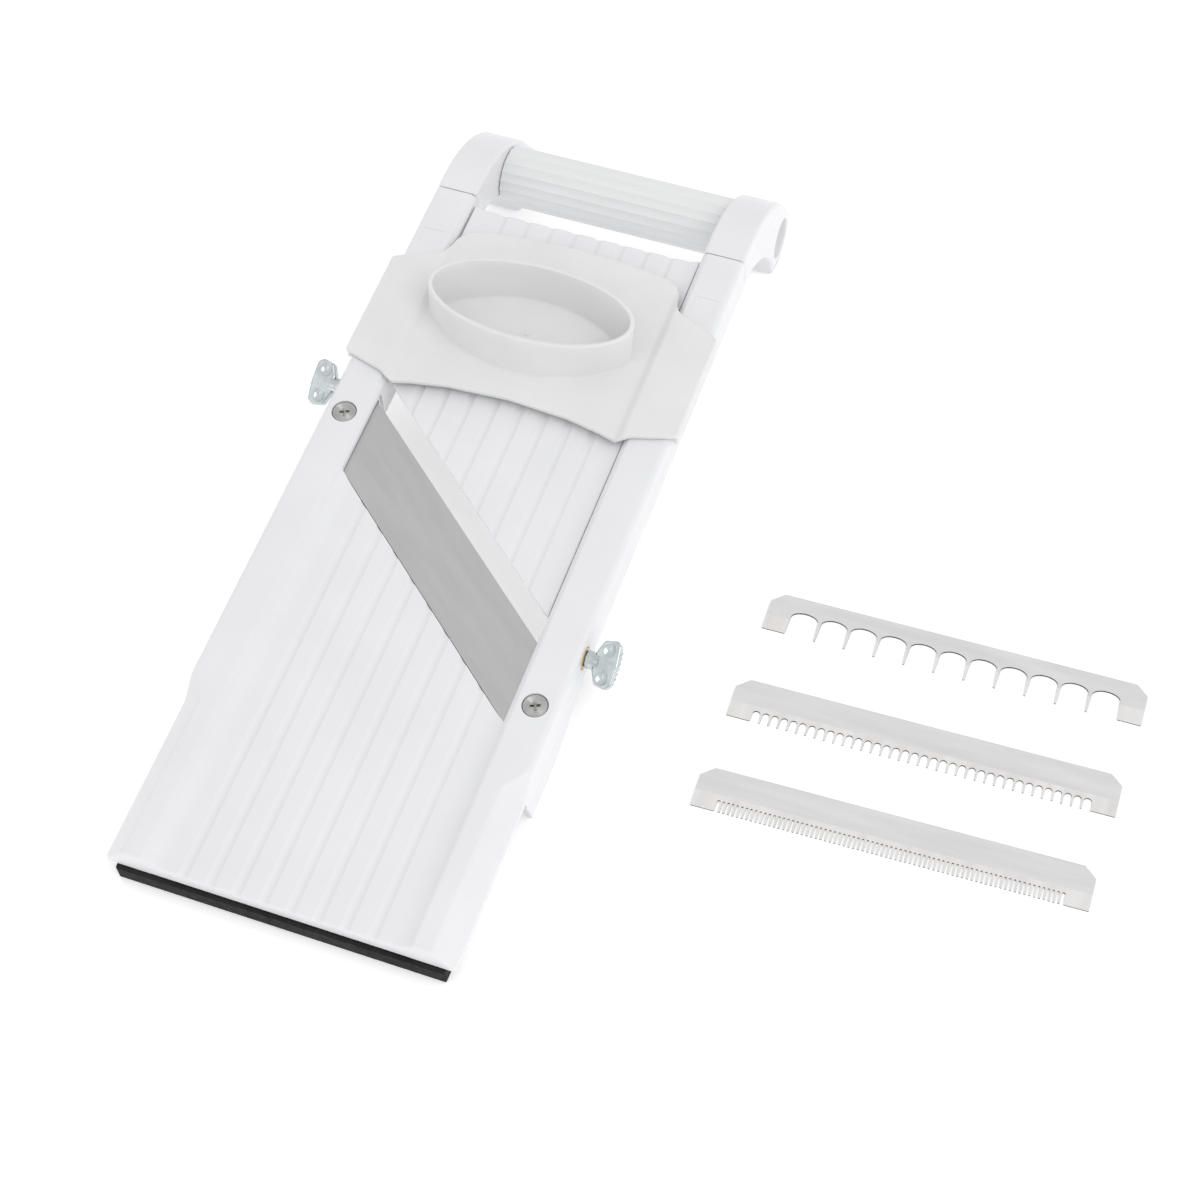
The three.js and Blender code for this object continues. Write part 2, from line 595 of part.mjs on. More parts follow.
// Wall of the finger cup at a share of its height: a pointed oval at the floor, an ellipse at the rim.
function cupSection(inset, share, z) {
  const points = 40;
  const power = 1.6 - 0.6 * share;
  return Array.from({ length: points }, (_, i) => {
    const angle = (i / points) * Math.PI * 2;
    const bulge = Math.abs(Math.sin(angle)) ** power * Math.sign(Math.sin(angle));
    const x = (CUP_HALF_LENGTH - inset) * Math.cos(angle);
    const y = (CUP_HALF_WIDTH - inset) * bulge;
    return [CUP_CENTRE.x + x, CUP_CENTRE.y + CUP_LEAN * share + y, z];
  });
}

function guardTeeth(bottom) {
  const teeth = [];
  for (const row of [222, 266, 275]) {
    for (let column = -2; column <= 2; column += 1) {
      teeth.push(turned([[0.1, bottom - 1], [0.8, bottom + 0.2]], column * GROOVE_PITCH, row, 6));
    }
  }
  return teeth;
}

function handGuard() {
  const bottom = GUARD_TOP - GUARD_THICK;
  const wingBottom = GUARD_WING_TOP - GUARD_THICK;
  const floorHalf = [...GUARD_NEAR, ...GUARD_FAR];
  const otherHalf = floorHalf.slice(1, -1).reverse().map(([x, y]) => [-x, y]);
  const floor = planPrism([...floorHalf, ...otherHalf], bottom, GUARD_TOP);
  const riser = planPrism([[44.4, 209.7], [46.4, 209.4], [46.4, 272], [44.4, 272]], bottom, GUARD_WING_TOP);
  const wing = planPrism([
    [44.4, 209.7], [46.4, 209.4], [49.7, 212], [GUARD_OUT - 1, 216.6], [GUARD_OUT, 218],
    [GUARD_OUT, 263], [GUARD_OUT - 1, 264.4], [50, 271], [44.4, 272],
  ], wingBottom, GUARD_WING_TOP);
  const lip = box(RAIL_OUT + 0.6, GUARD_OUT, 218, 263, -4.2, GUARD_WING_TOP - 1);
  const side = joined([riser, wing, lip]);
  const outside = [0, 0.5, 1].map((share) => cupSection(0, share, 0.2 + (CUP_HEIGHT - 0.2) * share));
  const inside = [0, 0.5, 1.05].map((share) => {
    const z = GUARD_TOP + (CUP_HEIGHT - GUARD_TOP) * share;
    return cupSection(CUP_WALL, Math.min(share, 1), z);
  });
  const cup = loft(outside).subtract(loft(inside));
  return joined([floor, side, mirrored(side), cup, ...guardTeeth(bottom)]);
}

// ---------------------------------------------------------------- comb blades
// Outline of a loose comb blade, lying flat, teeth towards -y, corner of its tab at the origin.
function combBlade(gaps) {
  const chamfer = { x: 4.5, y: 4.1 };
  const span = COMB_LENGTH - 2 * COMB_TAB;
  const pitch = span / gaps.count;
  const points = [[0, 0], [COMB_TAB, 0]];
  for (let i = 0; i < gaps.count; i += 1) {
    const start = COMB_TAB + i * pitch + (i === 0 ? 0 : gaps.tooth / 2);
    const end = COMB_TAB + (i + 1) * pitch - (i === gaps.count - 1 ? 0 : gaps.tooth / 2);
    const middle = (start + end) / 2;
    if (i > 0) {
      points.push([start, 0]);
    }
    for (let step = 0; step <= gaps.arc; step += 1) {
      const angle = Math.PI * (1 - step / gaps.arc);
      const half = (end - start) / 2 - gaps.taper;
      points.push([middle + half * Math.cos(angle), gaps.root + (gaps.depth - gaps.root) * Math.sin(angle)]);
    }
    points.push([end, 0]);
  }
  points.push([COMB_LENGTH, 0], [COMB_LENGTH, COMB_HEIGHT - chamfer.y],
    [COMB_LENGTH - chamfer.x, COMB_HEIGHT], [chamfer.x, COMB_HEIGHT], [0, COMB_HEIGHT - chamfer.y]);
  return planPrism(points, 0, COMB_THICK);
}

const COMBS = [
  {
    name: 'comb_blade_coarse', x: 113.97, y: 168.94, turn: 1.566,
    gaps: { count: 11, tooth: 0.7, taper: 0.35, root: 7.9, depth: 10.7, arc: 8 },
  },
  {
    name: 'comb_blade_medium', x: 113.79, y: 127.97, turn: 1.804,
    gaps: { count: 36, tooth: 0.6, taper: 0.1, root: 3.5, depth: 4.7, arc: 3 },
  },
  {
    name: 'comb_blade_fine', x: 113.7, y: 87.95, turn: 2.043,
    gaps: { count: 74, tooth: 0.75, taper: 0.05, root: 4.1, depth: 4.6, arc: 2 },
  },
];

// ---------------------------------------------------------------- assembly
place(slicer, 'frame', frameSolid(), whitePlastic);
place(slicer, 'main_blade', mainBlade(), bladeSteel);
for (const screw of BLADE_SCREWS) {
  const { side, x, y } = screw;
  const head = bladeScrew(screw, 0).subtract(phillipsRecess(x, y, -0.4));
  place(slicer, `blade_screw_${side}`, head, screwSteel);
  const nutTop = LEDGE_TOP - 3 - GAP;
  place(slicer, `blade_nut_${side}`, hexNut(x, y, nutTop - 3.2, nutTop, 7, 2.3), brass);
}

place(slicer, 'adjustable_plate', adjustablePlate(), whitePlastic);
const hingePin = rodAcross(HINGE_PIN, 43.2, 50.4, HINGE_Y, HINGE_Z, 12);
place(slicer, 'hinge_pin_right', hingePin, screwSteel);
place(slicer, 'hinge_pin_left', mirrored(hingePin), screwSteel);

place(slicer, 'adjusting_screw', adjustingScrew(), screwSteel);
place(slicer, 'adjusting_knob', adjustingKnob(), greyPlastic);
place(slicer, 'adjusting_bushing', bushing(), brass);
place(slicer, 'lift_block', liftBlock(), greyPlastic);
place(slicer, 'screw_clip', ring(3.6, NECK_RADIUS + GAP, BLOCK.bottom + 2.6, BLOCK.bottom + 3.3, 0, SCREW_Y),
  screwSteel);

for (const screw of THUMB_SCREWS) {
  place(slicer, `thumb_screw_${screw.side}`, placedThumbScrew(screw), zinc);
  place(slicer, `clamp_insert_${screw.side}`, clampInsert(screw), brass);
}

place(slicer, 'arm_right', arm(), whitePlastic);
place(slicer, 'arm_left', mirrored(arm()), whitePlastic);
place(slicer, 'arm_screw_right', armScrew(), screwSteel);
place(slicer, 'arm_screw_left', mirrored(armScrew()), screwSteel);
place(slicer, 'handle_tube', handleTube(), tubePlastic);
place(slicer, 'rear_foot_right', rearFoot(), blackRubber);
place(slicer, 'rear_foot_left', mirrored(rearFoot()), blackRubber);
place(slicer, 'front_rubber_strip', frontStrip(), blackRubber);
place(slicer, 'hand_guard', handGuard(), frostedPlastic);

slicer.rotation.x = LEAN;
slicer.position.set(0, -STAND_DROP * Math.sin(LEAN) - FOOT_Y / Math.cos(LEAN), STAND_DROP * Math.cos(LEAN));
object.add(slicer);

for (const { name, x, y, turn, gaps } of COMBS) {
  const comb = place(object, name, combBlade(gaps), combSteel);
  comb.rotation.z = THREE.MathUtils.degToRad(turn);
  comb.position.set(x, y, 0);
}

export default object;
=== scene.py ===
"""Finished look of the mandoline slicer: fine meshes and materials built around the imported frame.

Shapes are built in millimetres in the slicer's own axes (x across, y from the near end to the
handle, z up from the rail tops) and carried into the frame by TO_FRAME.
"""
import json
import math

import bmesh
import bpy
from mathutils import Matrix, Vector


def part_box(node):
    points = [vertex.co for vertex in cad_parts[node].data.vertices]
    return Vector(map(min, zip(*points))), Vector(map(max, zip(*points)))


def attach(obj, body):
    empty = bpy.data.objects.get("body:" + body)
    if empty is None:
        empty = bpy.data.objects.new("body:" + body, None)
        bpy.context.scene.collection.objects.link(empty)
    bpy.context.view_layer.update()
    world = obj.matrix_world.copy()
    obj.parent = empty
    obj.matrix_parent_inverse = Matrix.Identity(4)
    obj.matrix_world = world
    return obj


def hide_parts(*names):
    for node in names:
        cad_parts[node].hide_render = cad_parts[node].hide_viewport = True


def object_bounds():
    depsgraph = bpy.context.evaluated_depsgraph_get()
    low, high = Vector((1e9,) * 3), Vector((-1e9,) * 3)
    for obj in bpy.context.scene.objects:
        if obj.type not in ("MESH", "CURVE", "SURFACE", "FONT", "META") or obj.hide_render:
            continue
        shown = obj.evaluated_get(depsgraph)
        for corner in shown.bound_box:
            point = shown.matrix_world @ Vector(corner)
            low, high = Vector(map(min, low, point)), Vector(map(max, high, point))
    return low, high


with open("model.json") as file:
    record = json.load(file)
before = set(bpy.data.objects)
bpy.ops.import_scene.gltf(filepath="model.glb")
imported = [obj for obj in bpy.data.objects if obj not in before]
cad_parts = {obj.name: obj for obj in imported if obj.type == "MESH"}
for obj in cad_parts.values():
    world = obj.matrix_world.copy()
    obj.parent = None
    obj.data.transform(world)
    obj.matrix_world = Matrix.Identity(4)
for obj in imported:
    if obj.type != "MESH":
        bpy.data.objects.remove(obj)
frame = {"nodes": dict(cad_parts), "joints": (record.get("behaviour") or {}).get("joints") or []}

CAD_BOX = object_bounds()
JOINTS = {joint["name"]: joint for joint in frame["joints"]}

# ---------------------------------------------------------------- the slicer's own axes
MM = 0.001
HINGE = Vector((0, 294, -10))          # the ramp's hinge line in the slicer's own axes
ACROSS = Vector((1, 0, 0))
ALONG = Vector(JOINTS["guard_slide"]["axis"]).normalized()
UP = ACROSS.cross(ALONG)
AXES = Matrix((ACROSS, ALONG, UP)).transposed()
ORIGIN = Vector(JOINTS["plate_tilt"]["pos_m"]) - AXES @ HINGE * MM
TO_FRAME = Matrix.Translation(ORIGIN) @ (AXES * MM).to_4x4()
LEAN = math.atan2(ALONG.z, ALONG.y)


def slicer_box(node):
    """Lowest and highest corner of a CAD node in the slicer's own axes, in millimetres."""
    back = TO_FRAME.inverted()
    points = [back @ vertex.co for vertex in frame["nodes"][node].data.vertices]
    low = Vector([min(p[i] for p in points) for i in range(3)])
    high = Vector([max(p[i] for p in points) for i in range(3)])
    return low, high


# ---------------------------------------------------------------- driving dimensions, millimetres
_, FRAME_HIGH = slicer_box("frame")
_, ARM_HIGH = slicer_box("arm_right")
_, RAMP_HIGH = slicer_box("adjustable_plate")
BLADE_LOW, BLADE_HIGH = slicer_box("main_blade")
TUBE_LOW, TUBE_HIGH = slicer_box("handle_tube")
STRIP_LOW, STRIP_HIGH = slicer_box("front_rubber_strip")
GUARD_LOW, GUARD_HIGH = slicer_box("hand_guard")
KNOB_LOW, KNOB_HIGH = slicer_box("adjusting_knob")
SCREW_LOW, SCREW_HIGH = slicer_box("adjusting_screw")
BLOCK_LOW, BLOCK_HIGH = slicer_box("lift_block")

RAIL_IN, RAIL_EDGE, RAIL_SLOPE = 47.2, 49.2, 1.7
RAIL_OUT = ARM_HIGH.x
RAIL_LENGTH = FRAME_HIGH.y
WALL, WALL_DEPTH = 2.5, 16
NEAR_DEPTH, NEAR_LENGTH = 9.8, 65
GRIP_FULL, GRIP_END, GRIP_TOP, GRIP_DEPTH = 62, 73, 56.3, 7.2

BLADE_TOP = BLADE_HIGH.z
PLATE_TOP, PLATE_THICK = BLADE_TOP + 0.1, 2.8
RAMP_TOP, RAMP_THICK = BLADE_TOP - 0.7, 2.6
LEDGE_TOP = BLADE_LOW.z - 0.4
POCKET_TOP = BLADE_TOP + 0.3
GROOVE_COUNT, GROOVE_PITCH, GROOVE_HALF, GROOVE_DEPTH = 8, 9.85, 1.75, 0.8
COVE_START, COVE_RADIUS = 40.5, 12.3

SLOPE = 0.8447                         # the blade runs across at about 40 degrees
BACK_AT_CENTRE, CUT_AT_CENTRE, RAMP_AT_CENTRE = 128.5, 161.95, 172.8
BLADE_SCREWS = {"left": (-56.1, 191.4), "right": (55.7, 97.0)}
THUMB_SCREWS = {"left": (-1, 206), "right": (1, 124)}
THUMB_Z = -8
SCREW_Y = 240
BRIDGE_TOP = slicer_box("adjusting_bushing")[1].z
ARM_SCREW = (55.6, 294)
GAP = 0.3
ARM_START = RAIL_LENGTH + GAP

TUBE_CENTRE = ((TUBE_LOW.y + TUBE_HIGH.y) / 2, (TUBE_LOW.z + TUBE_HIGH.z) / 2)
TUBE_RADIUS = (TUBE_HIGH.y - TUBE_LOW.y) / 2
TUBE_BORE = 9.4
TOE_CENTRE, TOE_RADIUS, SOCKET_RADIUS = (352.5, -41.5), 12.2, 8.2
TOE_SEAT, FOOT_PLUG_Y = -53, 351.5
ARM_CENTRE, ARM_RADIUS = (310, -55.5), 55.5


def back_edge(x):
    return BACK_AT_CENTRE - SLOPE * x


def cut_edge(x):
    return CUT_AT_CENTRE - SLOPE * x


def ramp_edge(x):
    return RAMP_AT_CENTRE - SLOPE * x


# ---------------------------------------------------------------- mesh helpers
def plan(u, v, h):
    return (u, v, h)


def side(u, v, h):
    return (h, u, v)


def end(u, v, h):
    return (u, h, v)


def smoothstep(low, high, value):
    share = min(1, max(0, (value - low) / (high - low)))
    return share * share * (3 - 2 * share)


def object_from(points, faces):
    mesh = bpy.data.meshes.new("part")
    mesh.from_pydata(points, [], faces)
    shape = bmesh.new()
    shape.from_mesh(mesh)
    bmesh.ops.recalc_face_normals(shape, faces=shape.faces)
    shape.to_mesh(mesh)
    shape.free()
    obj = bpy.data.objects.new("part", mesh)
    bpy.context.scene.collection.objects.link(obj)
    return obj


def loft(rings, closed=False):
    """A solid through rings with equal numbers of points; closed joins the last to the first."""
    count = len(rings[0])
    points = [point for ring in rings for point in ring]
    spans = len(rings) if closed else len(rings) - 1
    faces = []
    for row in range(spans):
        here, there = row * count, (row + 1) % len(rings) * count
        for i in range(count):
            j = (i + 1) % count
            faces.append((here + i, here + j, there + j, there + i))
    if not closed:
        last = (len(rings) - 1) * count
        faces.append(tuple(range(count)))
        faces.append(tuple(range(last, last + count)))
    return object_from(points, faces)


def rounded(corners, radius, steps=4):
    """A closed outline with its corners filleted; radius is one number or one for each corner."""
    outline = []
    count = len(corners)
    radii = radius if isinstance(radius, (list, tuple)) else [radius] * count
    for i, corner in enumerate(corners):
        here = Vector(corner)
        before, after = Vector(corners[i - 1]) - here, Vector(corners[(i + 1) % count]) - here
        turn = math.pi - before.angle(after)
        if radii[i] == 0 or turn < 0.02:
            outline.append(tuple(here))
            continue
        reach = min(radii[i] * math.tan(turn / 2), 0.48 * before.length, 0.48 * after.length)
        start, stop = here + before.normalized() * reach, here + after.normalized() * reach
        for k in range(steps + 1):
            t = k / steps
            outline.append(tuple(start * (1 - t) ** 2 + here * 2 * t * (1 - t) + stop * t * t))
    return outline


def inset(outline, distance):
    """The outline moved inwards by a distance, corner by corner."""
    if distance == 0:
        return list(outline)
    points = [Vector(p) for p in outline]
    count = len(points)
    area = sum(points[i - 1].x * points[i].y - points[i].x * points[i - 1].y for i in range(count))
    inward = 1 if area > 0 else -1
    moved = []
    for i, here in enumerate(points):
        a = (here - points[i - 1]).normalized()
        b = (points[(i + 1) % count] - here).normalized()
        normals = [Vector((-d.y, d.x)) * inward for d in (a, b)]
        middle = (normals[0] + normals[1]).normalized()
        moved.append(tuple(here + middle * (distance / max(0.35, middle.dot(normals[0])))))
    return moved


def prism(outline, low, high, axes, edge=0.0, steps=3):
    """A prism over a flat outline, its two rims rounded by edge."""
    if edge == 0:
        levels = [(low, 0), (high, 0)]
    else:
        turns = [math.pi / 2 * k / steps for k in range(steps + 1)]
        lower = [(low + edge * (1 - math.cos(a)), edge * (1 - math.sin(a))) for a in turns]
        upper = [(high - (h - low), d) for h, d in reversed(lower)]
        levels = lower + upper
    return loft([[axes(u, v, h) for u, v in inset(outline, d)] for h, d in levels])


def block(x, y, z, edge=0.0):
    """A box between pairs of x, y and z, with its edges rounded."""
    corners = [(x[0], y[0]), (x[1], y[0]), (x[1], y[1]), (x[0], y[1])]
    return prism(rounded(corners, edge, 3), z[0], z[1], plan, edge)


def circle(centre, radius, segments=64):
    turns = [2 * math.pi * i / segments for i in range(segments)]
    return [(centre[0] + radius * math.cos(a), centre[1] + radius * math.sin(a)) for a in turns]


def arc(centre, radius, start, stop, steps):
    turns = [math.radians(start + (stop - start) * k / steps) for k in range(steps + 1)]
    return [(centre[0] + radius * math.cos(a), centre[1] + radius * math.sin(a)) for a in turns]


def turned(profile, centre, axes=plan, segments=64):
    """A solid of revolution; profile is [radius, height] from one end to the other."""
    return loft([[axes(u, v, height) for u, v in circle(centre, radius, segments)]
                 for radius, height in profile])


def washer(outer, inner, low, high, centre, edge):
    """An upright ring with softened edges."""
    profile = rounded([(inner, low), (outer, low), (outer, high), (inner, high)], edge, 3)
    hoops = [[(u, v, height) for u, v in circle(centre, radius)] for radius, height in profile]
    return loft(list(zip(*hoops)), closed=True)


def mirrored(obj):
    """The same shape on the other side of the slicer."""
    copy = bpy.data.objects.new("part", obj.data.copy())
    bpy.context.scene.collection.objects.link(copy)
    put_on_side(copy, -1)
    return copy


def put_on_side(obj, direction):
    """Turns a right-hand shape into its left-hand mirror image where direction is -1."""
    if direction < 0:
        obj.data.transform(Matrix.Scale(-1, 4, ACROSS))
        obj.data.flip_normals()


def apply_modifiers(obj):
    graph = bpy.context.evaluated_depsgraph_get()
    mesh = bpy.data.meshes.new_from_object(obj.evaluated_get(graph))
    mesh.materials.clear()
    obj.modifiers.clear()
    obj.data = mesh


def combine(body, operation, others):
    """Joins the others to the body or cuts them from it, and removes them."""
    for other in others:
        modifier = body.modifiers.new("step", "BOOLEAN")
        modifier.operation = operation
        modifier.solver = "MANIFOLD"
        modifier.object = other
    apply_modifiers(body)
    for other in others:
        bpy.data.objects.remove(other)
    return body


def join(body, *others):
    return combine(body, "UNION", others)


def cut(body, *others):
    return combine(body, "DIFFERENCE", others)


def smooth(obj, degrees=32):
    """Smooth shading that breaks at sharp edges, with flat faces kept flat."""
    mesh = obj.data
    mesh.polygons.foreach_set("use_smooth", [True] * len(mesh.polygons))
    mesh.set_sharp_from_angle(angle=math.radians(degrees))
    weigh = obj.modifiers.new("face normals", "WEIGHTED_NORMAL")
    weigh.keep_sharp = True


def clean(obj):
    """Merges the doubled points and split flat faces that joins and cuts leave."""
    shape = bmesh.new()
    shape.from_mesh(obj.data)
    bmesh.ops.remove_doubles(shape, verts=shape.verts, dist=0.002)
    bmesh.ops.dissolve_limit(shape, angle_limit=math.radians(0.4), verts=shape.verts, edges=shape.edges)
    bmesh.ops.triangulate(shape, faces=[f for f in shape.faces if len(f.verts) > 4])
    shape.to_mesh(obj.data)
    shape.free()


def piece(obj, name, material, body, replaces, into=TO_FRAME, sharp=32):
    """Names a finished shape, carries it into the frame, gives it its materials and smooth shading, and hands
    it to its body.
    """
    obj.data.transform(into)
    obj.name = name
    obj.data.name = name
    materials = material if isinstance(material, list) else [material]
    for entry in materials:
        obj.data.materials.append(entry)
    smooth(obj, sharp)
    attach(obj, body)
    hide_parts(*replaces)
    return obj


# ---------------------------------------------------------------- materials
FACTOR_RANGE = (0.3, 0.7)               # most of a noise's values lie in this range


class Finish:
    """A material around one Principled shader, with short calls for what it is made of."""

    def __init__(self, name, colour, roughness, metallic=0.0, **plain):
        self.material = bpy.data.materials.new(name)
        self.material.use_nodes = True
        self.tree = self.material.node_tree
        self.shader = self.tree.nodes["Principled BSDF"]
        self.set(self.shader, Base_Color=(*colour, 1), Roughness=roughness, Metallic=metallic, **plain)
        self.bumps = None

    def set(self, node, **inputs):
        """Sets a node's inputs; an underscore stands for the space in an input's name."""
        for key, value in inputs.items():
            node.inputs[key.replace("_", " ")].default_value = value
        return node

    def node(self, kind, **inputs):
        return self.set(self.tree.nodes.new(kind), **inputs)

    def link(self, out, into):
        self.tree.links.new(out, into)

    def noise(self, scale, stretch=(1, 1, 1), turn=0.0, detail=3.0):
        """Noise in object space; scale is in features per metre."""
        where = self.node("ShaderNodeTexCoord")
        shift = self.node("ShaderNodeMapping", Scale=stretch)
        spin = self.node("ShaderNodeMapping", Rotation=(0, 0, turn))
        grain = self.node("ShaderNodeTexNoise", Scale=scale, Detail=detail)
        self.link(where.outputs["Object"], spin.inputs["Vector"])
        self.link(spin.outputs["Vector"], shift.inputs["Vector"])
        self.link(shift.outputs["Vector"], grain.inputs["Vector"])
        return grain.outputs["Fac"]

    def colours(self, factor, dark, light):
        made = self.node("ShaderNodeValToRGB")
        for element, position, colour in zip(made.color_ramp.elements, FACTOR_RANGE, (dark, light)):
            element.position = position
            element.color = (*colour, 1)
        self.link(factor, made.inputs["Fac"])
        self.link(made.outputs["Color"], self.shader.inputs["Base Color"])

    def roughness(self, factor, low, high):
        span = self.node("ShaderNodeMapRange", From_Min=FACTOR_RANGE[0], From_Max=FACTOR_RANGE[1],
                         To_Min=low, To_Max=high)
        self.link(factor, span.inputs["Value"])
        self.link(span.outputs["Result"], self.shader.inputs["Roughness"])

    def bump(self, height, distance, strength):
        made = self.node("ShaderNodeBump", Distance=distance, Strength=strength)
        self.link(height, made.inputs["Height"])
        if self.bumps:
            self.link(self.bumps, made.inputs["Normal"])
        self.bumps = made.outputs["Normal"]
        self.link(self.bumps, self.shader.inputs["Normal"])


def white_plastic():
    made = Finish("white_plastic", (0.8, 0.8, 0.82), 0.36)
    made.colours(made.noise(35, detail=4), (0.775, 0.777, 0.795), (0.805, 0.806, 0.82))
    made.roughness(made.noise(160, detail=4), 0.31, 0.42)
    made.bump(made.noise(2400, detail=2), 0.00002, 0.5)
    return made.material


def tube_plastic():
    made = Finish("tube_plastic", (0.7, 0.71, 0.72), 0.4)
    made.colours(made.noise(60, stretch=(0.15, 1, 1)), (0.76, 0.765, 0.77), (0.81, 0.815, 0.82))
    made.roughness(made.noise(500, stretch=(0.05, 1, 1)), 0.34, 0.46)
    made.bump(made.noise(2600, stretch=(0.04, 1, 1), detail=2), 0.00003, 0.5)
    return made.material


def frosted_plastic():
    made = Finish("frosted_plastic", (0.85, 0.85, 0.84), 0.45, IOR=1.45, Transmission_Weight=0.12)
    made.colours(made.noise(45, detail=4), (0.83, 0.835, 0.828), (0.87, 0.875, 0.868))
    made.roughness(made.noise(220, detail=5), 0.38, 0.55)
    made.bump(made.noise(1500, detail=5), 0.00003, 0.6)
    return made.material


def grey_plastic():
    made = Finish("grey_plastic", (0.5, 0.51, 0.52), 0.5)
    made.colours(made.noise(90), (0.48, 0.49, 0.5), (0.54, 0.55, 0.56))
    made.roughness(made.noise(300), 0.42, 0.58)
    made.bump(made.noise(1800, detail=3), 0.00003, 0.6)
    return made.material


def black_rubber():
    made = Finish("black_rubber", (0.012, 0.012, 0.013), 0.75, Specular_IOR_Level=0.2)
    made.colours(made.noise(120, detail=5), (0.008, 0.008, 0.009), (0.02, 0.0195, 0.019))
    made.roughness(made.noise(400), 0.62, 0.85)
    made.bump(made.noise(1300, detail=6), 0.00008, 0.8)
    return made.material


def sheet_steel(name, dark, light, turn, roughness=(0.3, 0.42)):
    """Ground steel sheet with its grain along the blade."""
    made = Finish(name, light, 0.35, metallic=1.0)
    made.colours(made.noise(220, stretch=(0.12, 1, 1), turn=turn, detail=6), dark, light)
    made.roughness(made.noise(900, stretch=(0.06, 1, 1), turn=turn, detail=3), *roughness)
    made.bump(made.noise(3200, stretch=(0.03, 1, 1), turn=turn, detail=2), 0.00002, 0.6)
    made.bump(made.noise(260, detail=4), 0.00003, 0.25)
    return made.material


def cut_steel():
    made = Finish("cut_steel_edge", (0.1, 0.1, 0.1), 0.55, metallic=1.0)
    made.colours(made.noise(900, detail=4), (0.035, 0.035, 0.036), (0.12, 0.118, 0.115))
    made.roughness(made.noise(1500), 0.45, 0.7)
    made.bump(made.noise(3000), 0.00003, 0.7)
    return made.material


def plated(name, dark, light, roughness):
    made = Finish(name, light, roughness, metallic=1.0)
    made.colours(made.noise(260, detail=5), dark, light)
    made.roughness(made.noise(700, detail=4), roughness * 0.75, roughness * 1.3)
    made.bump(made.noise(1100, detail=4), 0.00004, 0.6)
    return made.material


BLADE_TURN = math.atan(SLOPE)
WHITE = white_plastic()
TUBE = tube_plastic()
FROSTED = frosted_plastic()
GREY = grey_plastic()
RUBBER = black_rubber()
BLADE = sheet_steel("blade_steel", (0.53, 0.53, 0.535), (0.575, 0.575, 0.58), BLADE_TURN)
COMB = sheet_steel("comb_steel", (0.76, 0.755, 0.765), (0.84, 0.835, 0.845), 0.0)
GROUND = sheet_steel("ground_steel", (0.83, 0.815, 0.805), (0.93, 0.915, 0.905), math.pi / 2, (0.22, 0.34))
CUT_EDGE = cut_steel()
ZINC = plated("zinc", (0.5, 0.55, 0.56), (0.66, 0.71, 0.72), 0.22)
SCREW_STEEL = plated("screw_steel", (0.42, 0.425, 0.41), (0.56, 0.565, 0.55), 0.3)
BRASS = plated("brass", (0.55, 0.4, 0.17), (0.7, 0.53, 0.25), 0.3)

# ---------------------------------------------------------------- plates with coves and grooves
def cove_rise(x):
    run = max(0, abs(x) - COVE_START)
    return COVE_RADIUS - math.sqrt(COVE_RADIUS ** 2 - run ** 2)


def plate_surface(top, half, drop=0.0):
    """Points across a plate's upper surface, from left to right, lowered by drop."""
    right = [(COVE_START + (half - COVE_START) * k / 10) for k in range(11)]
    coves = [(x, top + cove_rise(x)) for x in right]
    points = [(-x, z) for x, z in reversed(coves)]
    shares = [-1.15, -1.05, -0.92, -0.75, -0.5, -0.25, 0, 0.25, 0.5, 0.75, 0.92, 1.05, 1.15]
    for i in range(GROOVE_COUNT):
        middle = (i - (GROOVE_COUNT - 1) / 2) * GROOVE_PITCH
        for share in shares:
            depth = GROOVE_DEPTH * (1 - (share / 1.15) ** 2) ** 1.25
            points.append((middle + share * GROOVE_HALF, top - depth))
    points += coves
    return [(x, z - drop) for x, z in points]


def plate_solid(top, thick, half, y0, y1, near_round, far_round, corner=0.5):
    """A plate whose surface runs along y, with its near and far top edges rounded."""
    def ring(y, drop):
        surface = plate_surface(top, half - corner, drop)
        shoulder = top + cove_rise(half) - drop - corner
        bottom = top - thick
        edge = [(half, shoulder), (half, bottom + 0.3), (half - 0.3, bottom)]
        return [end(x, z, y) for x, z in surface + edge + [(-x, z) for x, z in reversed(edge)]]

    stations = []
    steps = 4
    if near_round:
        for k in range(steps):
            turn = math.pi / 2 * k / steps
            stations.append((y0 + near_round * (1 - math.cos(turn)), near_round * (1 - math.sin(turn))))
    stations += [(y0 + near_round, 0), (y1 - far_round, 0)]
    if far_round:
        for k in range(1, steps + 1):
            turn = math.pi / 2 * k / steps
            stations.append((y1 - far_round * (1 - math.sin(turn)), far_round * (1 - math.cos(turn))))
    return loft([ring(y, drop) for y, drop in stations])


def diagonal(low, high, half, z0, z1):
    """A prism that runs across between two lines parallel to the blade."""
    corners = [(-half, low(-half)), (half, low(half)), (half, high(half)), (-half, high(-half))]
    return prism(corners, z0, z1, plan)


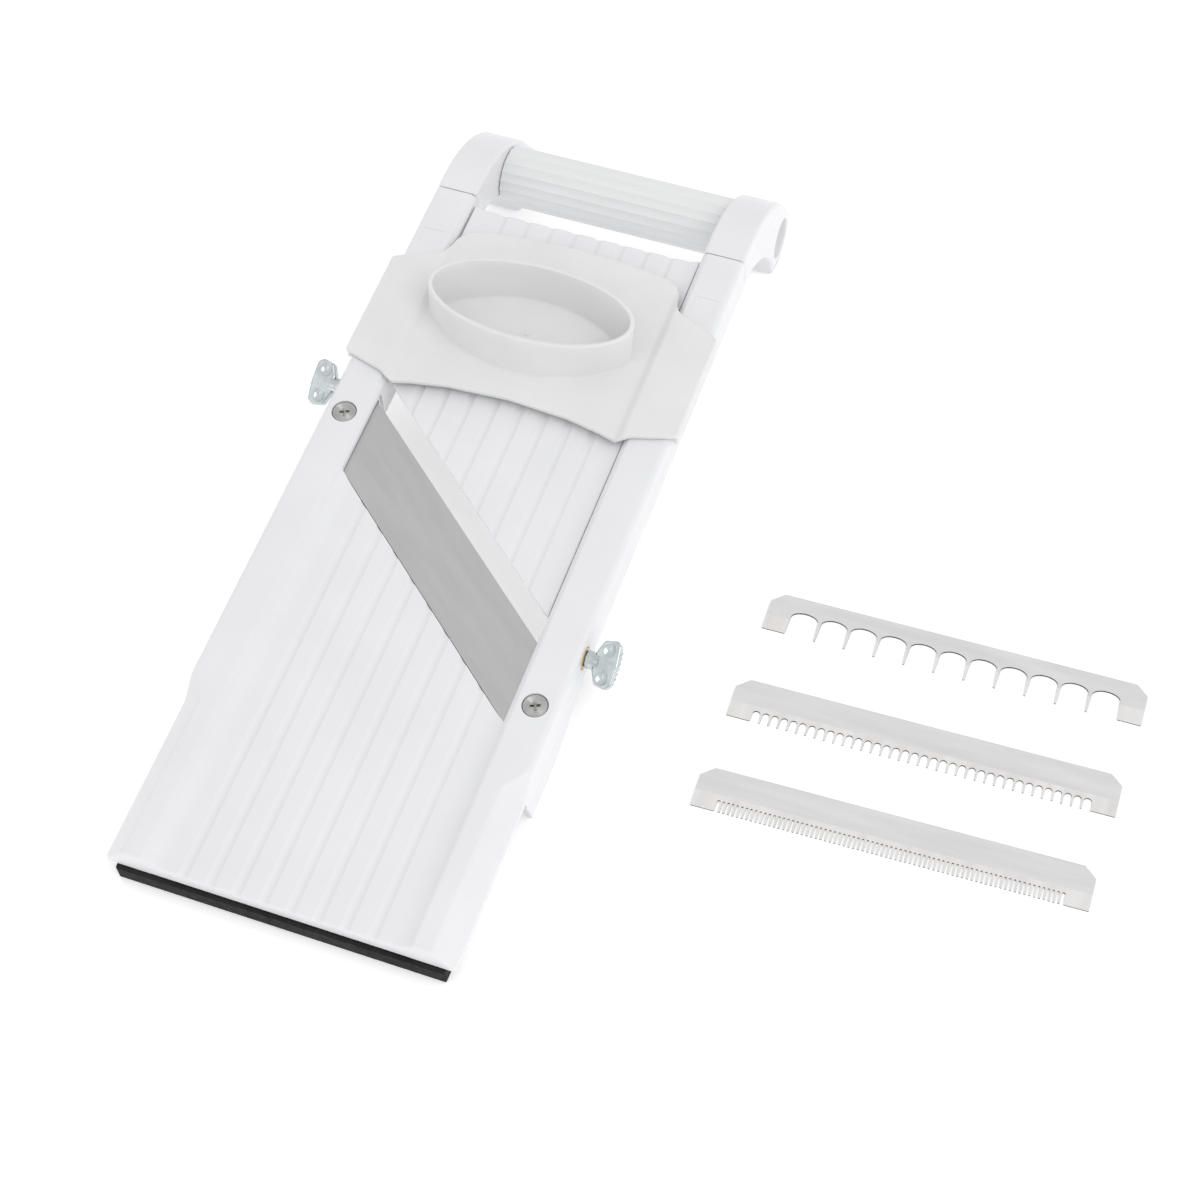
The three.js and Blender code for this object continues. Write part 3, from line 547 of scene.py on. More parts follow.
# ---------------------------------------------------------------- frame
def rail_corner(y, drop):
    """Nine points round the rail's outer top edge: a round, or the bevel of the near grip."""
    grip = 1 - smoothstep(GRIP_FULL, GRIP_END, y)
    edge = 2.2
    points = []
    for k in range(9):
        share = k / 8
        turn = share * math.pi / 2
        plain = Vector((RAIL_OUT - edge + edge * math.sin(turn), -edge + edge * math.cos(turn)))
        soft = 1.1
        if k < 3:
            bevel = Vector((GRIP_TOP - soft + 0.7 * soft * k, -0.13 * k * k))
        elif k < 6:
            run = 0.2 + 0.3 * (k - 3)
            bevel = Vector((GRIP_TOP + (RAIL_OUT - GRIP_TOP) * run, -GRIP_DEPTH * run))
        else:
            bevel = Vector((RAIL_OUT - 0.2 * (8 - k) ** 2, -GRIP_DEPTH - 0.7 + 0.62 * (8 - k)))
        mixed = plain.lerp(bevel, grip)
        points.append((mixed.x - drop, mixed.y - drop))
    return points


def rail_ring(y, drop):
    outer = RAIL_OUT - drop
    outline = [
        (RAIL_IN, -WALL_DEPTH), (RAIL_IN, -RAIL_SLOPE - 0.5 - drop), (RAIL_IN + 0.12, -RAIL_SLOPE - drop),
        (RAIL_IN + 0.45, -RAIL_SLOPE + 0.4 - drop), (RAIL_EDGE - 0.35, -0.32 - drop),
        (RAIL_EDGE + 0.05, -0.08 - drop), (RAIL_EDGE + 0.6, -drop),
    ]
    outline += rail_corner(y, drop)
    outline += [(outer, -WALL_DEPTH + 0.5), (outer - 0.15, -WALL_DEPTH + 0.15), (outer - 0.5, -WALL_DEPTH)]
    return [end(x, z, y) for x, z in outline]


def channel_ring(y):
    grip = 1 - smoothstep(GRIP_FULL, GRIP_END, y)
    wall = RAIL_OUT - WALL
    chamfer = 0.6 + 5 * grip
    outline = [
        (RAIL_IN + WALL, -WALL_DEPTH - 1), (RAIL_IN + WALL, -WALL), (wall - chamfer, -WALL),
        (wall, -WALL - chamfer), (wall, -WALL_DEPTH - 1),
    ]
    return [end(x, z, y) for x, z in outline]


def rail():
    soft, seam = 1.0, 0.25
    near = [(soft * (1 - math.cos(a)), soft * (1 - math.sin(a))) for a in (0, 0.35, 0.75, 1.15)]
    grip = [(GRIP_FULL + (GRIP_END - GRIP_FULL) * k / 12, 0) for k in range(13)]
    stations = near + [(soft, 0)] + grip + [(RAIL_LENGTH - seam, 0), (RAIL_LENGTH, seam)]
    solid = loft([rail_ring(y, drop) for y, drop in stations])
    channel = loft([channel_ring(y) for y in [WALL] + [y for y, _ in grip] + [RAIL_LENGTH + 1]])
    near_cut = prism(rounded([(-1, -30), (NEAR_LENGTH, -30), (NEAR_LENGTH, -NEAR_DEPTH), (-1, -NEAR_DEPTH)],
                             [0, 0, 1.5, 0]), RAIL_IN - 1, RAIL_OUT + 3, side)
    return cut(solid, channel, near_cut)


def skirt():
    """The deep, slightly flared skirt that hooks over the rim of a bowl."""
    rings = []
    start, stop, deepest = NEAR_LENGTH + 0.6, 133, 22
    for k in range(25):
        share = k / 24
        y = start + (stop - start) * share
        depth = deepest - 5.8 * smoothstep(0.25, 1, share)
        flare = 1.2 * (depth - 15.4) / 6.6
        ring = [(RAIL_OUT - WALL, -15), (RAIL_OUT - 0.2, -15), (RAIL_OUT + flare, -depth),
                (RAIL_OUT + flare - WALL, -depth)]
        rings.append([end(x, z, y) for x, z in rounded(ring, [0, 0, 0.9, 0.9], 4)])
    return loft(rings)


def frame_shell():
    surface = plate_solid(PLATE_TOP, PLATE_THICK, RAIL_IN + 1, 0, 215, 0.9, 0)
    surface = cut(surface, diagonal(lambda x: back_edge(x) - GAP, lambda x: 400, 80, -40, 20))
    ledge = diagonal(lambda x: back_edge(x) - 6, lambda x: cut_edge(x) - 6, 61.4, LEDGE_TOP - 3, LEDGE_TOP)
    front = block((-RAIL_IN - 1, RAIL_IN + 1), (0, WALL), (-NEAR_DEPTH, PLATE_TOP - 1.2), 0.2)
    seat = block((-61.8, 61.8), (0.4, 9), (-NEAR_DEPTH, -NEAR_DEPTH + 2), 0.2)
    bridge_low, bridge_high = BRIDGE_TOP - 5, BRIDGE_TOP
    bridge_reach = RAIL_IN + WALL
    bridge = block((-bridge_reach, bridge_reach), (SCREW_Y - 8, SCREW_Y + 8), (bridge_low, bridge_high), 0.8)
    leg = block((RAIL_IN + 0.05, RAIL_IN + WALL - 0.05), (SCREW_Y - 8, SCREW_Y + 8),
                (bridge_high - 2, -WALL_DEPTH + 1), 0.0)
    web = prism(rounded([(RAIL_IN + 0.5, bridge_high - 0.5), (RAIL_IN + 0.5, -11), (37, bridge_high - 0.5)],
                        [0, 0, 0.5]), SCREW_Y - 1.2, SCREW_Y + 1.2, end, 0.3)
    right_rail, right_skirt = rail(), skirt()
    boss = turned([(4.3, -WALL + 0.1), (4, -8.9)], ARM_SCREW, segments=40)
    pads = [turned([(5, -WALL + 0.1), (5, POCKET_TOP)], at) for at in BLADE_SCREWS.values()]
    sides = [leg, web, right_rail, right_skirt, boss]
    others = [mirrored(obj) for obj in sides]
    body = join(surface, *sides, *others, front, seat, bridge, *pads)

    pocket = diagonal(lambda x: back_edge(x) - GAP, lambda x: cut_edge(x) + 0.6, BLADE_HIGH.x + 0.5,
                      LEDGE_TOP, POCKET_TOP)
    comb_slot = diagonal(lambda x: cut_edge(x) + 1.4, lambda x: cut_edge(x) + 3.2, 54.5,
                         -WALL_DEPTH - 1, POCKET_TOP)
    body = cut(body, pocket, comb_slot)
    body = join(body, ledge)
    holes = [turned([(2.2, -16), (2.2, -3), (4.7, -1.4), (4.75, -0.12), (5.1, 0.3)], at) for at in
             BLADE_SCREWS.values()]
    for direction, y in THUMB_SCREWS.values():
        hole = turned([(3.2, 51), (3.2, 59.5), (5.3, 59.6), (5.3, RAIL_OUT - WALL),
                       (4.3, RAIL_OUT - WALL + 0.01), (4.3, 66)], (y, THUMB_Z), side, 48)
        put_on_side(hole, direction)
        holes.append(hole)
    pin = turned([(1.8, 46), (1.8, 51)], (HINGE.y, HINGE.z), side, 40)
    bush = turned([(4.9, bridge_low - 1), (4.9, bridge_high + 1)], (0, SCREW_Y))
    screw_hole = turned([(1.9, -9.5), (1.9, -4)], ARM_SCREW, segments=32)
    label = block((51.5, 60.5), (274, 283), (-0.22, 1), 0.0)
    singles = [pin, screw_hole, label]
    body = cut(body, *holes, bush, *singles, *[mirrored(obj) for obj in singles])
    clean(body)
    return piece(body, "frame_shell", WHITE, "frame", ["frame"])


frame_shell()


# ---------------------------------------------------------------- adjustable plate
def ramp_plate():
    under = RAMP_TOP - RAMP_THICK
    half, far = RAMP_HIGH.x, RAMP_HIGH.y
    plate = plate_solid(RAMP_TOP, RAMP_THICK, half, 90, far, 0, 0.8)
    plate = cut(plate, diagonal(lambda x: 0, ramp_edge, 80, -40, 20))
    relief = prism([(-0.5, RAMP_TOP - 0.75), (6.5, under - 0.01), (6.5, under - 3), (-0.5, under - 3)],
                   -120, 120, side)
    relief.data.transform(Matrix.Translation((0, RAMP_AT_CENTRE, 0)) @ Matrix.Rotation(-BLADE_TURN, 4, "Z"))
    plate = cut(plate, relief)
    lug_radius = 3.5
    lug = prism([(HINGE.y - lug_radius, under + 0.5), *arc((HINGE.y, HINGE.z), lug_radius, 180, 360, 16),
                 (HINGE.y + lug_radius, under + 0.5)], 43, half, side, 0.3)
    wide, low = BLOCK_HIGH.x, BLOCK_LOW.z
    hook = prism(rounded([(wide + 0.5, under + 0.5), (wide + 0.5, low - 0.7), (wide - 1.5, low - 0.7),
                          (wide - 1.5, low - 2.2), (wide + 2.5, low - 2.2), (wide + 2.5, under + 0.5)],
                         [0, 0.3, 0.4, 0.4, 0.8, 0]), SCREW_Y - 4, SCREW_Y + 4, end, 0.3)
    spine = block((29, 31), (205, 280), (under - 2.5, under + 0.5), 0.4)
    parts = [lug, hook, spine]
    body = join(plate, *parts, *[mirrored(obj) for obj in parts])
    pin = turned([(1.8, 40), (1.8, 50)], (HINGE.y, HINGE.z), side, 40)
    body = cut(body, pin, mirrored(pin))
    clean(body)
    return piece(body, "ramp_plate", WHITE, "plate", ["adjustable_plate"])


ramp_plate()
frame["nodes"]["main_blade"].data.materials.clear()
frame["nodes"]["main_blade"].data.materials.append(BLADE)


# ---------------------------------------------------------------- screws, nuts and pins
def phillips(x, y, top, reach=2.1, depth=1.5, turn=0.4):
    """Tapered cross recess with its mouth at the given height."""
    arms = []
    for quarter in range(2):
        wide = [(-reach, -0.5), (reach, -0.5), (reach, 0.5), (-reach, 0.5)]
        rings = []
        for height, share in ((top - depth, 0.35), (top - 0.25, 0.85), (top + 0.05, 1), (top + 1, 1.2)):
            rings.append([(u * share, v * (0.5 + 0.5 * share), height) for u, v in rounded(wide, 0.15, 2)])
        arm = loft(rings)
        place = Matrix.Translation((x, y, 0)) @ Matrix.Rotation(turn + quarter * math.pi / 2, 4, "Z")
        arm.data.transform(place)
        arms.append(arm)
    pit = turned([(0.2, top - depth - 0.1), (0.8, top - 0.5), (0.9, top + 0.5)], (x, y), segments=32)
    return [*arms, pit]


def ringed_head(radius, top):
    """Profile of a flat head with fine turned rings, from its rim to its middle."""
    count = 5
    profile = [(radius, top - 0.25), (radius - 0.08, top - 0.08), (radius - 0.25, top)]
    for k in range(count):
        at = radius - 0.55 - k * 0.45
        profile += [(at, top), (at - 0.08, top - 0.05), (at - 0.16, top - 0.05), (at - 0.24, top)]
    return profile


def countersunk_screw(name, side_name):
    x, y = BLADE_SCREWS[side_name]
    low, high = slicer_box(name)
    top = high.z
    shank = [(1.4, low.z), (1.9, low.z + 0.5)]
    pitch, height = 0.8, low.z + 0.8
    while height < -4.2:
        shank += [(1.62, height), (1.9, height + pitch * 0.4), (1.9, height + pitch * 0.5)]
        height += pitch
    profile = shank + [(1.9, -2.6), (4.35, -1)] + ringed_head(4.4, top) + [(0.1, top)]
    body = cut(turned(profile, (x, y), segments=96), *phillips(x, y, top))
    return piece(body, f"countersunk_{side_name}", SCREW_STEEL, "frame", [name])


def hex_nut(name, side_name):
    x, y = BLADE_SCREWS[side_name]
    low, high = slicer_box(name)
    across_flats = 7
    hexagon = circle((x, y), across_flats / math.sqrt(3), 6)
    body = prism(rounded(hexagon, 0.3, 3), low.z, high.z, plan, 0.25)
    bore = turned([(2.9, low.z - 0.5), (2.3, low.z + 0.4), (2.3, high.z - 0.4), (2.9, high.z + 0.5)], (x, y))
    return piece(cut(body, bore), f"hex_nut_{side_name}", BRASS, "frame", [name])


def arm_screw(side_name, direction):
    x, y = direction * ARM_SCREW[0], ARM_SCREW[1]
    low, high = slicer_box(f"arm_screw_{side_name}")
    seat = low.z + 1.9
    profile = [(1.2, low.z), (2.3, low.z + 0.25), (2.9, low.z + 0.8), (3, seat - 0.1), (2.9, seat),
               (1.6, seat)]
    height = seat + 1
    while height < high.z - 1.2:
        profile += [(1.6, height), (1.32, height + 0.45), (1.6, height + 0.9)]
        height += 1.0
    profile += [(1.5, high.z - 0.4), (0.2, high.z)]
    head = turned(profile, (0, 0), segments=64)
    recess = phillips(0, 0, 0, 1.6, 1.2)
    for part in recess:
        part.data.transform(Matrix.Translation((0, 0, low.z)) @ Matrix.Rotation(math.pi, 4, "X"))
    body = cut(head, *recess)
    body.data.transform(Matrix.Translation((x, y, 0)))
    return piece(body, f"pan_screw_{side_name}", SCREW_STEEL, "frame", [f"arm_screw_{side_name}"])


def hinge_pin(side_name, direction):
    low, high = slicer_box(f"hinge_pin_{side_name}")
    ends = sorted((abs(low.x), abs(high.x)))
    profile = [(0.3, ends[0]), (1.2, ends[0] + 0.15), (1.5, ends[0] + 0.6), (1.5, ends[1] - 0.4),
               (1.2, ends[1])]
    body = turned(profile, (HINGE.y, HINGE.z), side, 48)
    put_on_side(body, direction)
    return piece(body, f"pivot_pin_{side_name}", SCREW_STEEL, "frame", [f"hinge_pin_{side_name}"])


for where, sign in (("left", -1), ("right", 1)):
    countersunk_screw(f"blade_screw_{where}", where)
    hex_nut(f"blade_nut_{where}", where)
    arm_screw(where, sign)
    hinge_pin(where, sign)


# ---------------------------------------------------------------- thickness adjustment
def threaded_spindle():
    low, high, neck_at = SCREW_LOW.z, SCREW_HIGH.z, BLOCK_LOW.z - GAP
    pitch, crest, root, segments = 1.5, 3.0, 2.35, 48
    rings = []
    steps = int((neck_at - low) / (pitch / 10))
    for row in range(steps + 1):
        z = low + (neck_at - low) * row / steps
        ends = min(1, (z - low) / 1.0, (neck_at - z) / 1.2)
        ring = []
        for i in range(segments):
            phase = (z / pitch - i / segments) % 1
            thread = min(1, max(0, 2.6 * abs(phase - 0.5) - 0.15))
            radius = root + (crest - root) * thread * max(0, ends) - 0.1 * (1 - max(0, ends))
            angle = 2 * math.pi * i / segments
            ring.append((radius * math.cos(angle), SCREW_Y + radius * math.sin(angle), z))
        rings.append(ring)
    for radius, z in ((2.0, neck_at + 0.05), (2.0, high - 0.3), (1.7, high)):
        rings.append([(x, y, z) for x, y in circle((0, SCREW_Y), radius, segments)])
    return piece(loft(rings), "threaded_spindle", SCREW_STEEL, "adjusting_screw", ["adjusting_screw"])


def lobed_knob():
    low, high = KNOB_LOW.z, KNOB_HIGH.z
    lobes, radius = 12, KNOB_HIGH.x
    outline = []
    for i in range(lobes * 16):
        angle = 2 * math.pi * i / (lobes * 16)
        scallop = 1.1 * (0.5 + 0.5 * math.cos(lobes * angle)) ** 3
        outline.append(((radius - scallop) * math.cos(angle), SCREW_Y + (radius - scallop) * math.sin(angle)))
    grip = prism(outline, low, high - 2, plan, 1.1, 5)
    collar = turned([(7.6, high - 3), (7, high - 2), (7, high - 0.4), (6.6, high)], (0, SCREW_Y))
    dish = turned([(8.4, low + 0.9), (9.6, low - 0.2), (9.8, low - 1)], (0, SCREW_Y))
    bore = turned([(3.3, low + 2.7), (3.3, high + 1)], (0, SCREW_Y))
    body = cut(join(grip, collar), dish, bore)
    return piece(body, "thickness_knob", GREY, "adjusting_screw", ["adjusting_knob"])


def bushing():
    low, high = slicer_box("adjusting_bushing")
    sleeve = turned([(4.5, low.z + 1), (4.6, low.z + 1.2), (4.6, high.z - 0.3), (4.3, high.z)], (0, SCREW_Y))
    flange = turned([(6.6, low.z), (7, low.z + 0.3), (7, low.z + 0.95), (6.8, low.z + 1.2)], (0, SCREW_Y))
    bore = turned([(3.7, low.z - 0.5), (3.3, low.z + 0.5), (3.3, high.z - 0.5), (3.7, high.z + 0.5)],
                  (0, SCREW_Y))
    body = cut(join(sleeve, flange), bore)
    return piece(body, "threaded_bushing", BRASS, "frame", ["adjusting_bushing"])


def lift_block():
    low, high = BLOCK_LOW, BLOCK_HIGH
    body = block((low.x, high.x), (low.y, high.y), (low.z, high.z), 0.6)
    neck = turned([(2.4, low.z - 1), (2.4, high.z + 1)], (0, SCREW_Y))
    well = turned([(4.2, low.z + 2.2), (4.2, high.z + 1)], (0, SCREW_Y))
    return piece(cut(body, neck, well), "lift_saddle", GREY, "lift_block", ["lift_block"])


def retaining_clip():
    low, high = slicer_box("screw_clip")
    body = washer(3.6, 2.3, low.z, high.z, (0, SCREW_Y), edge=0.15)
    gap = block((-0.8, 0.8), (SCREW_Y + 1, SCREW_Y + 6), (low.z - 1, high.z + 1))
    return piece(cut(body, gap), "retaining_clip", SCREW_STEEL, "lift_block", ["screw_clip"])


threaded_spindle()
lobed_knob()
bushing()
lift_block()
retaining_clip()


# ---------------------------------------------------------------- thumb screws
THUMB_TURN = math.radians(26)


def thumb_screw(side_name):
    """Cast wing screw: a round neck that spreads into a thick wing with a raised diamond pattern."""
    direction, y = THUMB_SCREWS[side_name]
    low, high = slicer_box(f"thumb_screw_{side_name}")
    tip = max(abs(low.x), abs(high.x))
    start = min(abs(low.x), abs(high.x))
    profile = [(1.6, start), (2.3, start + 0.6)]
    at = start + 1
    while at < 63:
        profile += [(2.05, at), (2.45, at + 0.3), (2.45, at + 0.45)]
        at += 0.8
    profile += [(2.5, 64.3), (3.3, 64.6), (3.4, 65), (3.3, 66.4), (2.9, 67.2), (3.2, 69)]
    neck = turned(profile, (0, 0), side, 56)
    outline = rounded([
        (tip - 9.2, -3.2), (tip - 7.2, -8), (tip - 2.6, -9), (tip - 0.8, -7.4), (tip - 0.2, 0),
        (tip - 0.8, 7.4), (tip - 2.6, 9), (tip - 7.2, 8), (tip - 9.2, 3.2),
    ], [1.2, 1.6, 1.4, 1.2, 3, 1.2, 1.4, 1.6, 1.2], 5)
    wing = prism(outline, -2.2, 2.2, plan, 0.8, 4)
    dishes = []
    for face in (-1, 1):
        for leaf in (-1, 1):
            dish = turned([(0.2, -0.9), (2.2, -0.55), (3.2, 0.3)], (0, 0), segments=40)
            stretch = Matrix.Diagonal((0.8, 1.0, 1.0, 1.0))
            place = Matrix.Translation((tip - 4.9, leaf * 5.1, 2.2 * face))
            flip = Matrix.Rotation(0 if face > 0 else math.pi, 4, "X")
            dish.data.transform(place @ flip @ stretch)
            dishes.append(dish)
    wing = cut(wing, *dishes)
    studs, diamond = [], ((-0.85, 0), (0, -0.8), (0.85, 0), (0, 0.8))
    for row in (-1, 1):
        for k in range(7):
            place_y = (k - 3) * 1.9 + row * 0.475
            bow = tip - 0.35 - 0.012 * place_y ** 2
            studs.append(loft([[(bow + out, place_y + u * share, row * 0.95 + v * share) for u, v in diamond]
                               for out, share in ((-0.4, 1), (0.35, 0.3))]))
    body = join(neck, wing, *studs)
    body.data.transform(Matrix.Translation((0, y, THUMB_Z)) @ Matrix.Rotation(THUMB_TURN, 4, "X"))
    put_on_side(body, direction)
    clean(body)
    name = f"thumb_screw_{side_name}"
    return piece(body, f"wing_screw_{side_name}", ZINC, name, [name], sharp=38)


def clamp_insert(side_name):
    direction, y = THUMB_SCREWS[side_name]
    low, high = slicer_box(f"clamp_insert_{side_name}")
    inner, outer = sorted((abs(low.x), abs(high.x)))
    flange_end = RAIL_OUT - WALL - GAP
    sleeve = turned([(4, inner + 0.2), (4, outer - 0.3), (3.7, outer)], (y, THUMB_Z), side, 56)
    flange = turned([(4.8, inner), (5, inner + 0.2), (5, flange_end)], (y, THUMB_Z), side, 56)
    bore = turned([(2.8, inner - 2), (2.8, outer - 0.4), (3.2, outer + 0.5)], (y, THUMB_Z), side, 56)
    body = cut(join(sleeve, flange), bore)
    put_on_side(body, direction)
    return piece(body, f"brass_insert_{side_name}", BRASS, "frame", [f"clamp_insert_{side_name}"])


for where in THUMB_SCREWS:
    thumb_screw(where)
    clamp_insert(where)


# ---------------------------------------------------------------- arms, handle and feet
def arm_outline():
    """Side view of an arm: the hump of the back, the round toe and the hollow underside."""
    start = ARM_START
    knots = [Vector(p) for p in ((TOE_CENTRE[0] - 10, TOE_SEAT), (341, -44), (331.5, -30), (316, -18.6),
                                 (start, -WALL_DEPTH))]
    padded = [knots[0] * 2 - knots[1], *knots, knots[-1] * 2 - knots[-2]]
    under = []
    for i in range(1, len(padded) - 2):
        a, b, c, d = padded[i - 1:i + 3]
        for k in range(8):
            t = k / 8
            under.append(tuple(0.5 * ((2 * b) + (c - a) * t + (2 * a - 5 * b + 4 * c - d) * t * t
                                      + (3 * b - a - 3 * c + d) * t ** 3)))
    under.append((start, -WALL_DEPTH))
    back = arc(ARM_CENTRE, ARM_RADIUS, 90, 30, 44)
    toe = arc(TOE_CENTRE, TOE_RADIUS, 35, -70, 28)
    return [(start, 0), *back, *toe, *under]


def arm(side_name, direction):
    solid = prism(arm_outline(), RAIL_IN, RAIL_OUT, side, 1.5, 5)
    skin = 3
    start = ARM_START
    inner_back = arc(ARM_CENTRE, ARM_RADIUS - skin, 90, 46, 16)
    hollow = prism([(start + skin, -skin), *inner_back, (336, -44), (318, -34), (start + skin, -28)],
                   RAIL_IN + WALL, RAIL_OUT - WALL, side)
    socket = turned([(SOCKET_RADIUS - 0.6, 55.8), (SOCKET_RADIUS, 56.4), (SOCKET_RADIUS, RAIL_OUT - 0.7),
                     (SOCKET_RADIUS + 0.25, RAIL_OUT - 0.2), (SOCKET_RADIUS + 0.8, RAIL_OUT + 0.1),
                     (SOCKET_RADIUS + 1, RAIL_OUT + 1)], TOE_CENTRE, side, 72)
    spigot = turned([(8.4, 39), (9, 39.6), (9, RAIL_IN + 1)], TUBE_CENTRE, side, 64)
    tongue = block((51, 60.3), (286, start + 1.5), (-13.4, -9.4), 0.4)
    screw_hole = turned([(1.9, -15), (1.9, -8)], ARM_SCREW, segments=40)
    foot_hole = turned([(2.6, TOE_SEAT - 1), (2.6, TOE_SEAT + 2.7)], (RAIL_IN + 8, FOOT_PLUG_Y), segments=40)
    body = cut(solid, hollow)
    body = cut(join(body, spigot, tongue), socket, screw_hole, foot_hole)
    clean(body)
    put_on_side(body, direction)
    return piece(body, f"arm_casting_{side_name}", WHITE, "frame", [f"arm_{side_name}"], sharp=28)


def fluted_tube():
    half = TUBE_HIGH.x
    flutes, steps = 20, 12
    outline = []
    for i in range(flutes * steps):
        share = (i % steps) / steps
        dip = 0.5 * math.sin(math.pi * share) ** 0.8
        angle = 2 * math.pi * i / (flutes * steps)
        radius = TUBE_RADIUS - dip
        outline.append((TUBE_CENTRE[0] + radius * math.cos(angle), TUBE_CENTRE[1] + radius * math.sin(angle)))
    body = prism(outline, -half, half, side, 0.3, 3)
    bore = turned([(TUBE_BORE, -half - 1), (TUBE_BORE, half + 1)], TUBE_CENTRE, side, 72)
    return piece(cut(body, bore), "fluted_tube", TUBE, "frame", ["handle_tube"], sharp=40)


ON_TABLE = TO_FRAME.inverted() @ Vector((0, 0, 0))


def table_height(y):
    """Height of the table under the slicer, in the slicer's own axes."""
    return ON_TABLE.z - (y - ON_TABLE.y) * math.tan(LEAN)


def rear_foot(side_name, direction):
    _, high = slicer_box(f"rear_foot_{side_name}")
    near, far = 345.5, 357.5
    outline = rounded([(near, TOE_SEAT - GAP), (near, table_height(near)), (far, table_height(far)),
                       (far, TOE_SEAT - GAP)], 0.3, 4)
    pad = prism(outline, RAIL_IN + 1.5, RAIL_OUT - 1.5, side, 0.3, 3)
    plug = turned([(2.2, TOE_SEAT - 0.8), (2.2, high.z - 0.6), (1.7, high.z)],
                  (RAIL_IN + 8, FOOT_PLUG_Y), segments=40)
    body = join(pad, plug)
    put_on_side(body, direction)
    return piece(body, f"foot_pad_{side_name}", RUBBER, "frame", [f"rear_foot_{side_name}"])


def front_strip():
    near, far, top = STRIP_LOW.y, STRIP_HIGH.y, STRIP_HIGH.z
    outline = rounded([(near, top - 0.6), (near, table_height(near)), (far, table_height(far)), (far, top),
                       (near + 0.8, top)], [0.5, 0.8, 0.8, 0.3, 0.5], 4)
    body = prism(outline, STRIP_LOW.x, STRIP_HIGH.x, side, 0.4, 3)
    grooves = []
    for y in (near + 3, near + 6):
        grooves.append(prism([(y - 0.5, table_height(y) - 1), (y + 0.5, table_height(y) - 1),
                              (y + 0.3, table_height(y) + 0.5), (y - 0.3, table_height(y) + 0.5)],
                             STRIP_LOW.x - 1, STRIP_HIGH.x + 1, side))
    return piece(cut(body, *grooves), "grip_strip", RUBBER, "frame", ["front_rubber_strip"])


for where, sign in (("left", -1), ("right", 1)):
    arm(where, sign)
    rear_foot(where, sign)
fluted_tube()
front_strip()

# ---------------------------------------------------------------- hand guard
GUARD_THICK = 2.2
GUARD_FLOOR, GUARD_WING = 0.6, 2.6
GUARD_HALF = GUARD_HIGH.x
GUARD_NEAR = [(0, 215.5), (24, 214), (37, 211.6), (45, 209.5), (47, 210), (50, 212.1),
              (58, 214.4), (66.2, 217)]
GUARD_FAR = [(0, 290), (20, 289.4), (33, 288), (39, 286.7), (43, 284.6), (45.4, 281), (46.2, 276),
             (47.6, 272.8), (50, 271), (58, 267.8), (66.2, 264)]
CUP_BASE, CUP_RIM = Vector((-2.4, 244.8)), Vector((-2.2, 249.0))
CUP_LENGTH, CUP_WIDTH, CUP_TOP, CUP_WALL = 40.8, 18.2, GUARD_HIGH.z, 1.8


def along(knots, x):
    """Where a line through the knots lies at a distance x from the middle."""
    x = abs(x)
    for (x0, y0), (x1, y1) in zip(knots, knots[1:]):
        if x <= x1:
            share = (x - x0) / (x1 - x0)
            return y0 + (y1 - y0) * share
    return knots[-1][1]


def guard_sheet():
    """The guard's floor and wings as one moulded sheet with rounded rims."""
    rings = []
    soft = 0.9
    columns = [GUARD_HALF - soft * (1 - math.cos(math.pi / 2 * k / 4)) for k in range(5)][::-1]
    inner = [0, 6, 12, 18, 24, 30, 34, 37, 39, 41, 42, 43, 43.8, 44.4, 44.8, 45.2, 45.6, 46, 46.4, 46.8, 47.2,
             47.8, 48.6, 50, 53, 57, 61, 64]
    right = [x for x in inner if x < columns[0] - 0.2] + columns
    for x in [-value for value in reversed(right)] + right[1:]:
        over = max(0, abs(x) - (GUARD_HALF - soft))
        shrink = soft - math.sqrt(max(0, soft ** 2 - over ** 2))
        lift = GUARD_FLOOR + (GUARD_WING - GUARD_FLOOR) * smoothstep(43.6, 47.6, abs(x))
        near, far = along(GUARD_NEAR, x) + shrink, along(GUARD_FAR, x) - shrink
        top, bottom = lift - shrink, lift - GUARD_THICK + shrink
        corners = [(near, bottom), (far, bottom), (far, top), (near, top)]
        rings.append([(x, y, z) for y, z in rounded(corners, min(0.8, (top - bottom) * 0.45), 5)])
    return loft(rings)


def cup_ring(grow, share, z, points=96):
    power = 1.6 - 0.6 * share
    centre = CUP_BASE.lerp(CUP_RIM, share)
    ring = []
    for i in range(points):
        angle = 2 * math.pi * i / points
        bulge = math.copysign(abs(math.sin(angle)) ** power, math.sin(angle))
        x = centre.x + (CUP_LENGTH + grow) * math.cos(angle)
        ring.append((x, centre.y + (CUP_WIDTH + grow) * bulge, z))
    return ring


def cup_solid(grow, low, foot, rim):
    """The cup as a solid: foot is the fillet at its floor, rim the round at its lip."""
    rings = []
    height = CUP_TOP - GUARD_FLOOR
    for k in range(6):
        turn = math.pi / 2 * k / 5
        spread, rise = foot * (1 - math.sin(turn)), abs(foot) * (1 - math.cos(turn))
        rings.append(cup_ring(grow + spread, 0.02 * k, low + rise))
    for k in range(1, 12):
        share = k / 12
        rings.append(cup_ring(grow, share, GUARD_FLOOR + height * share))
    for k in range(6):
        turn = math.pi / 2 * k / 5
        shrink, fall = rim * (1 - math.cos(turn)), abs(rim) * (1 - math.sin(turn))
        rings.append(cup_ring(grow - shrink, 1, CUP_TOP - fall))
    return loft(rings)


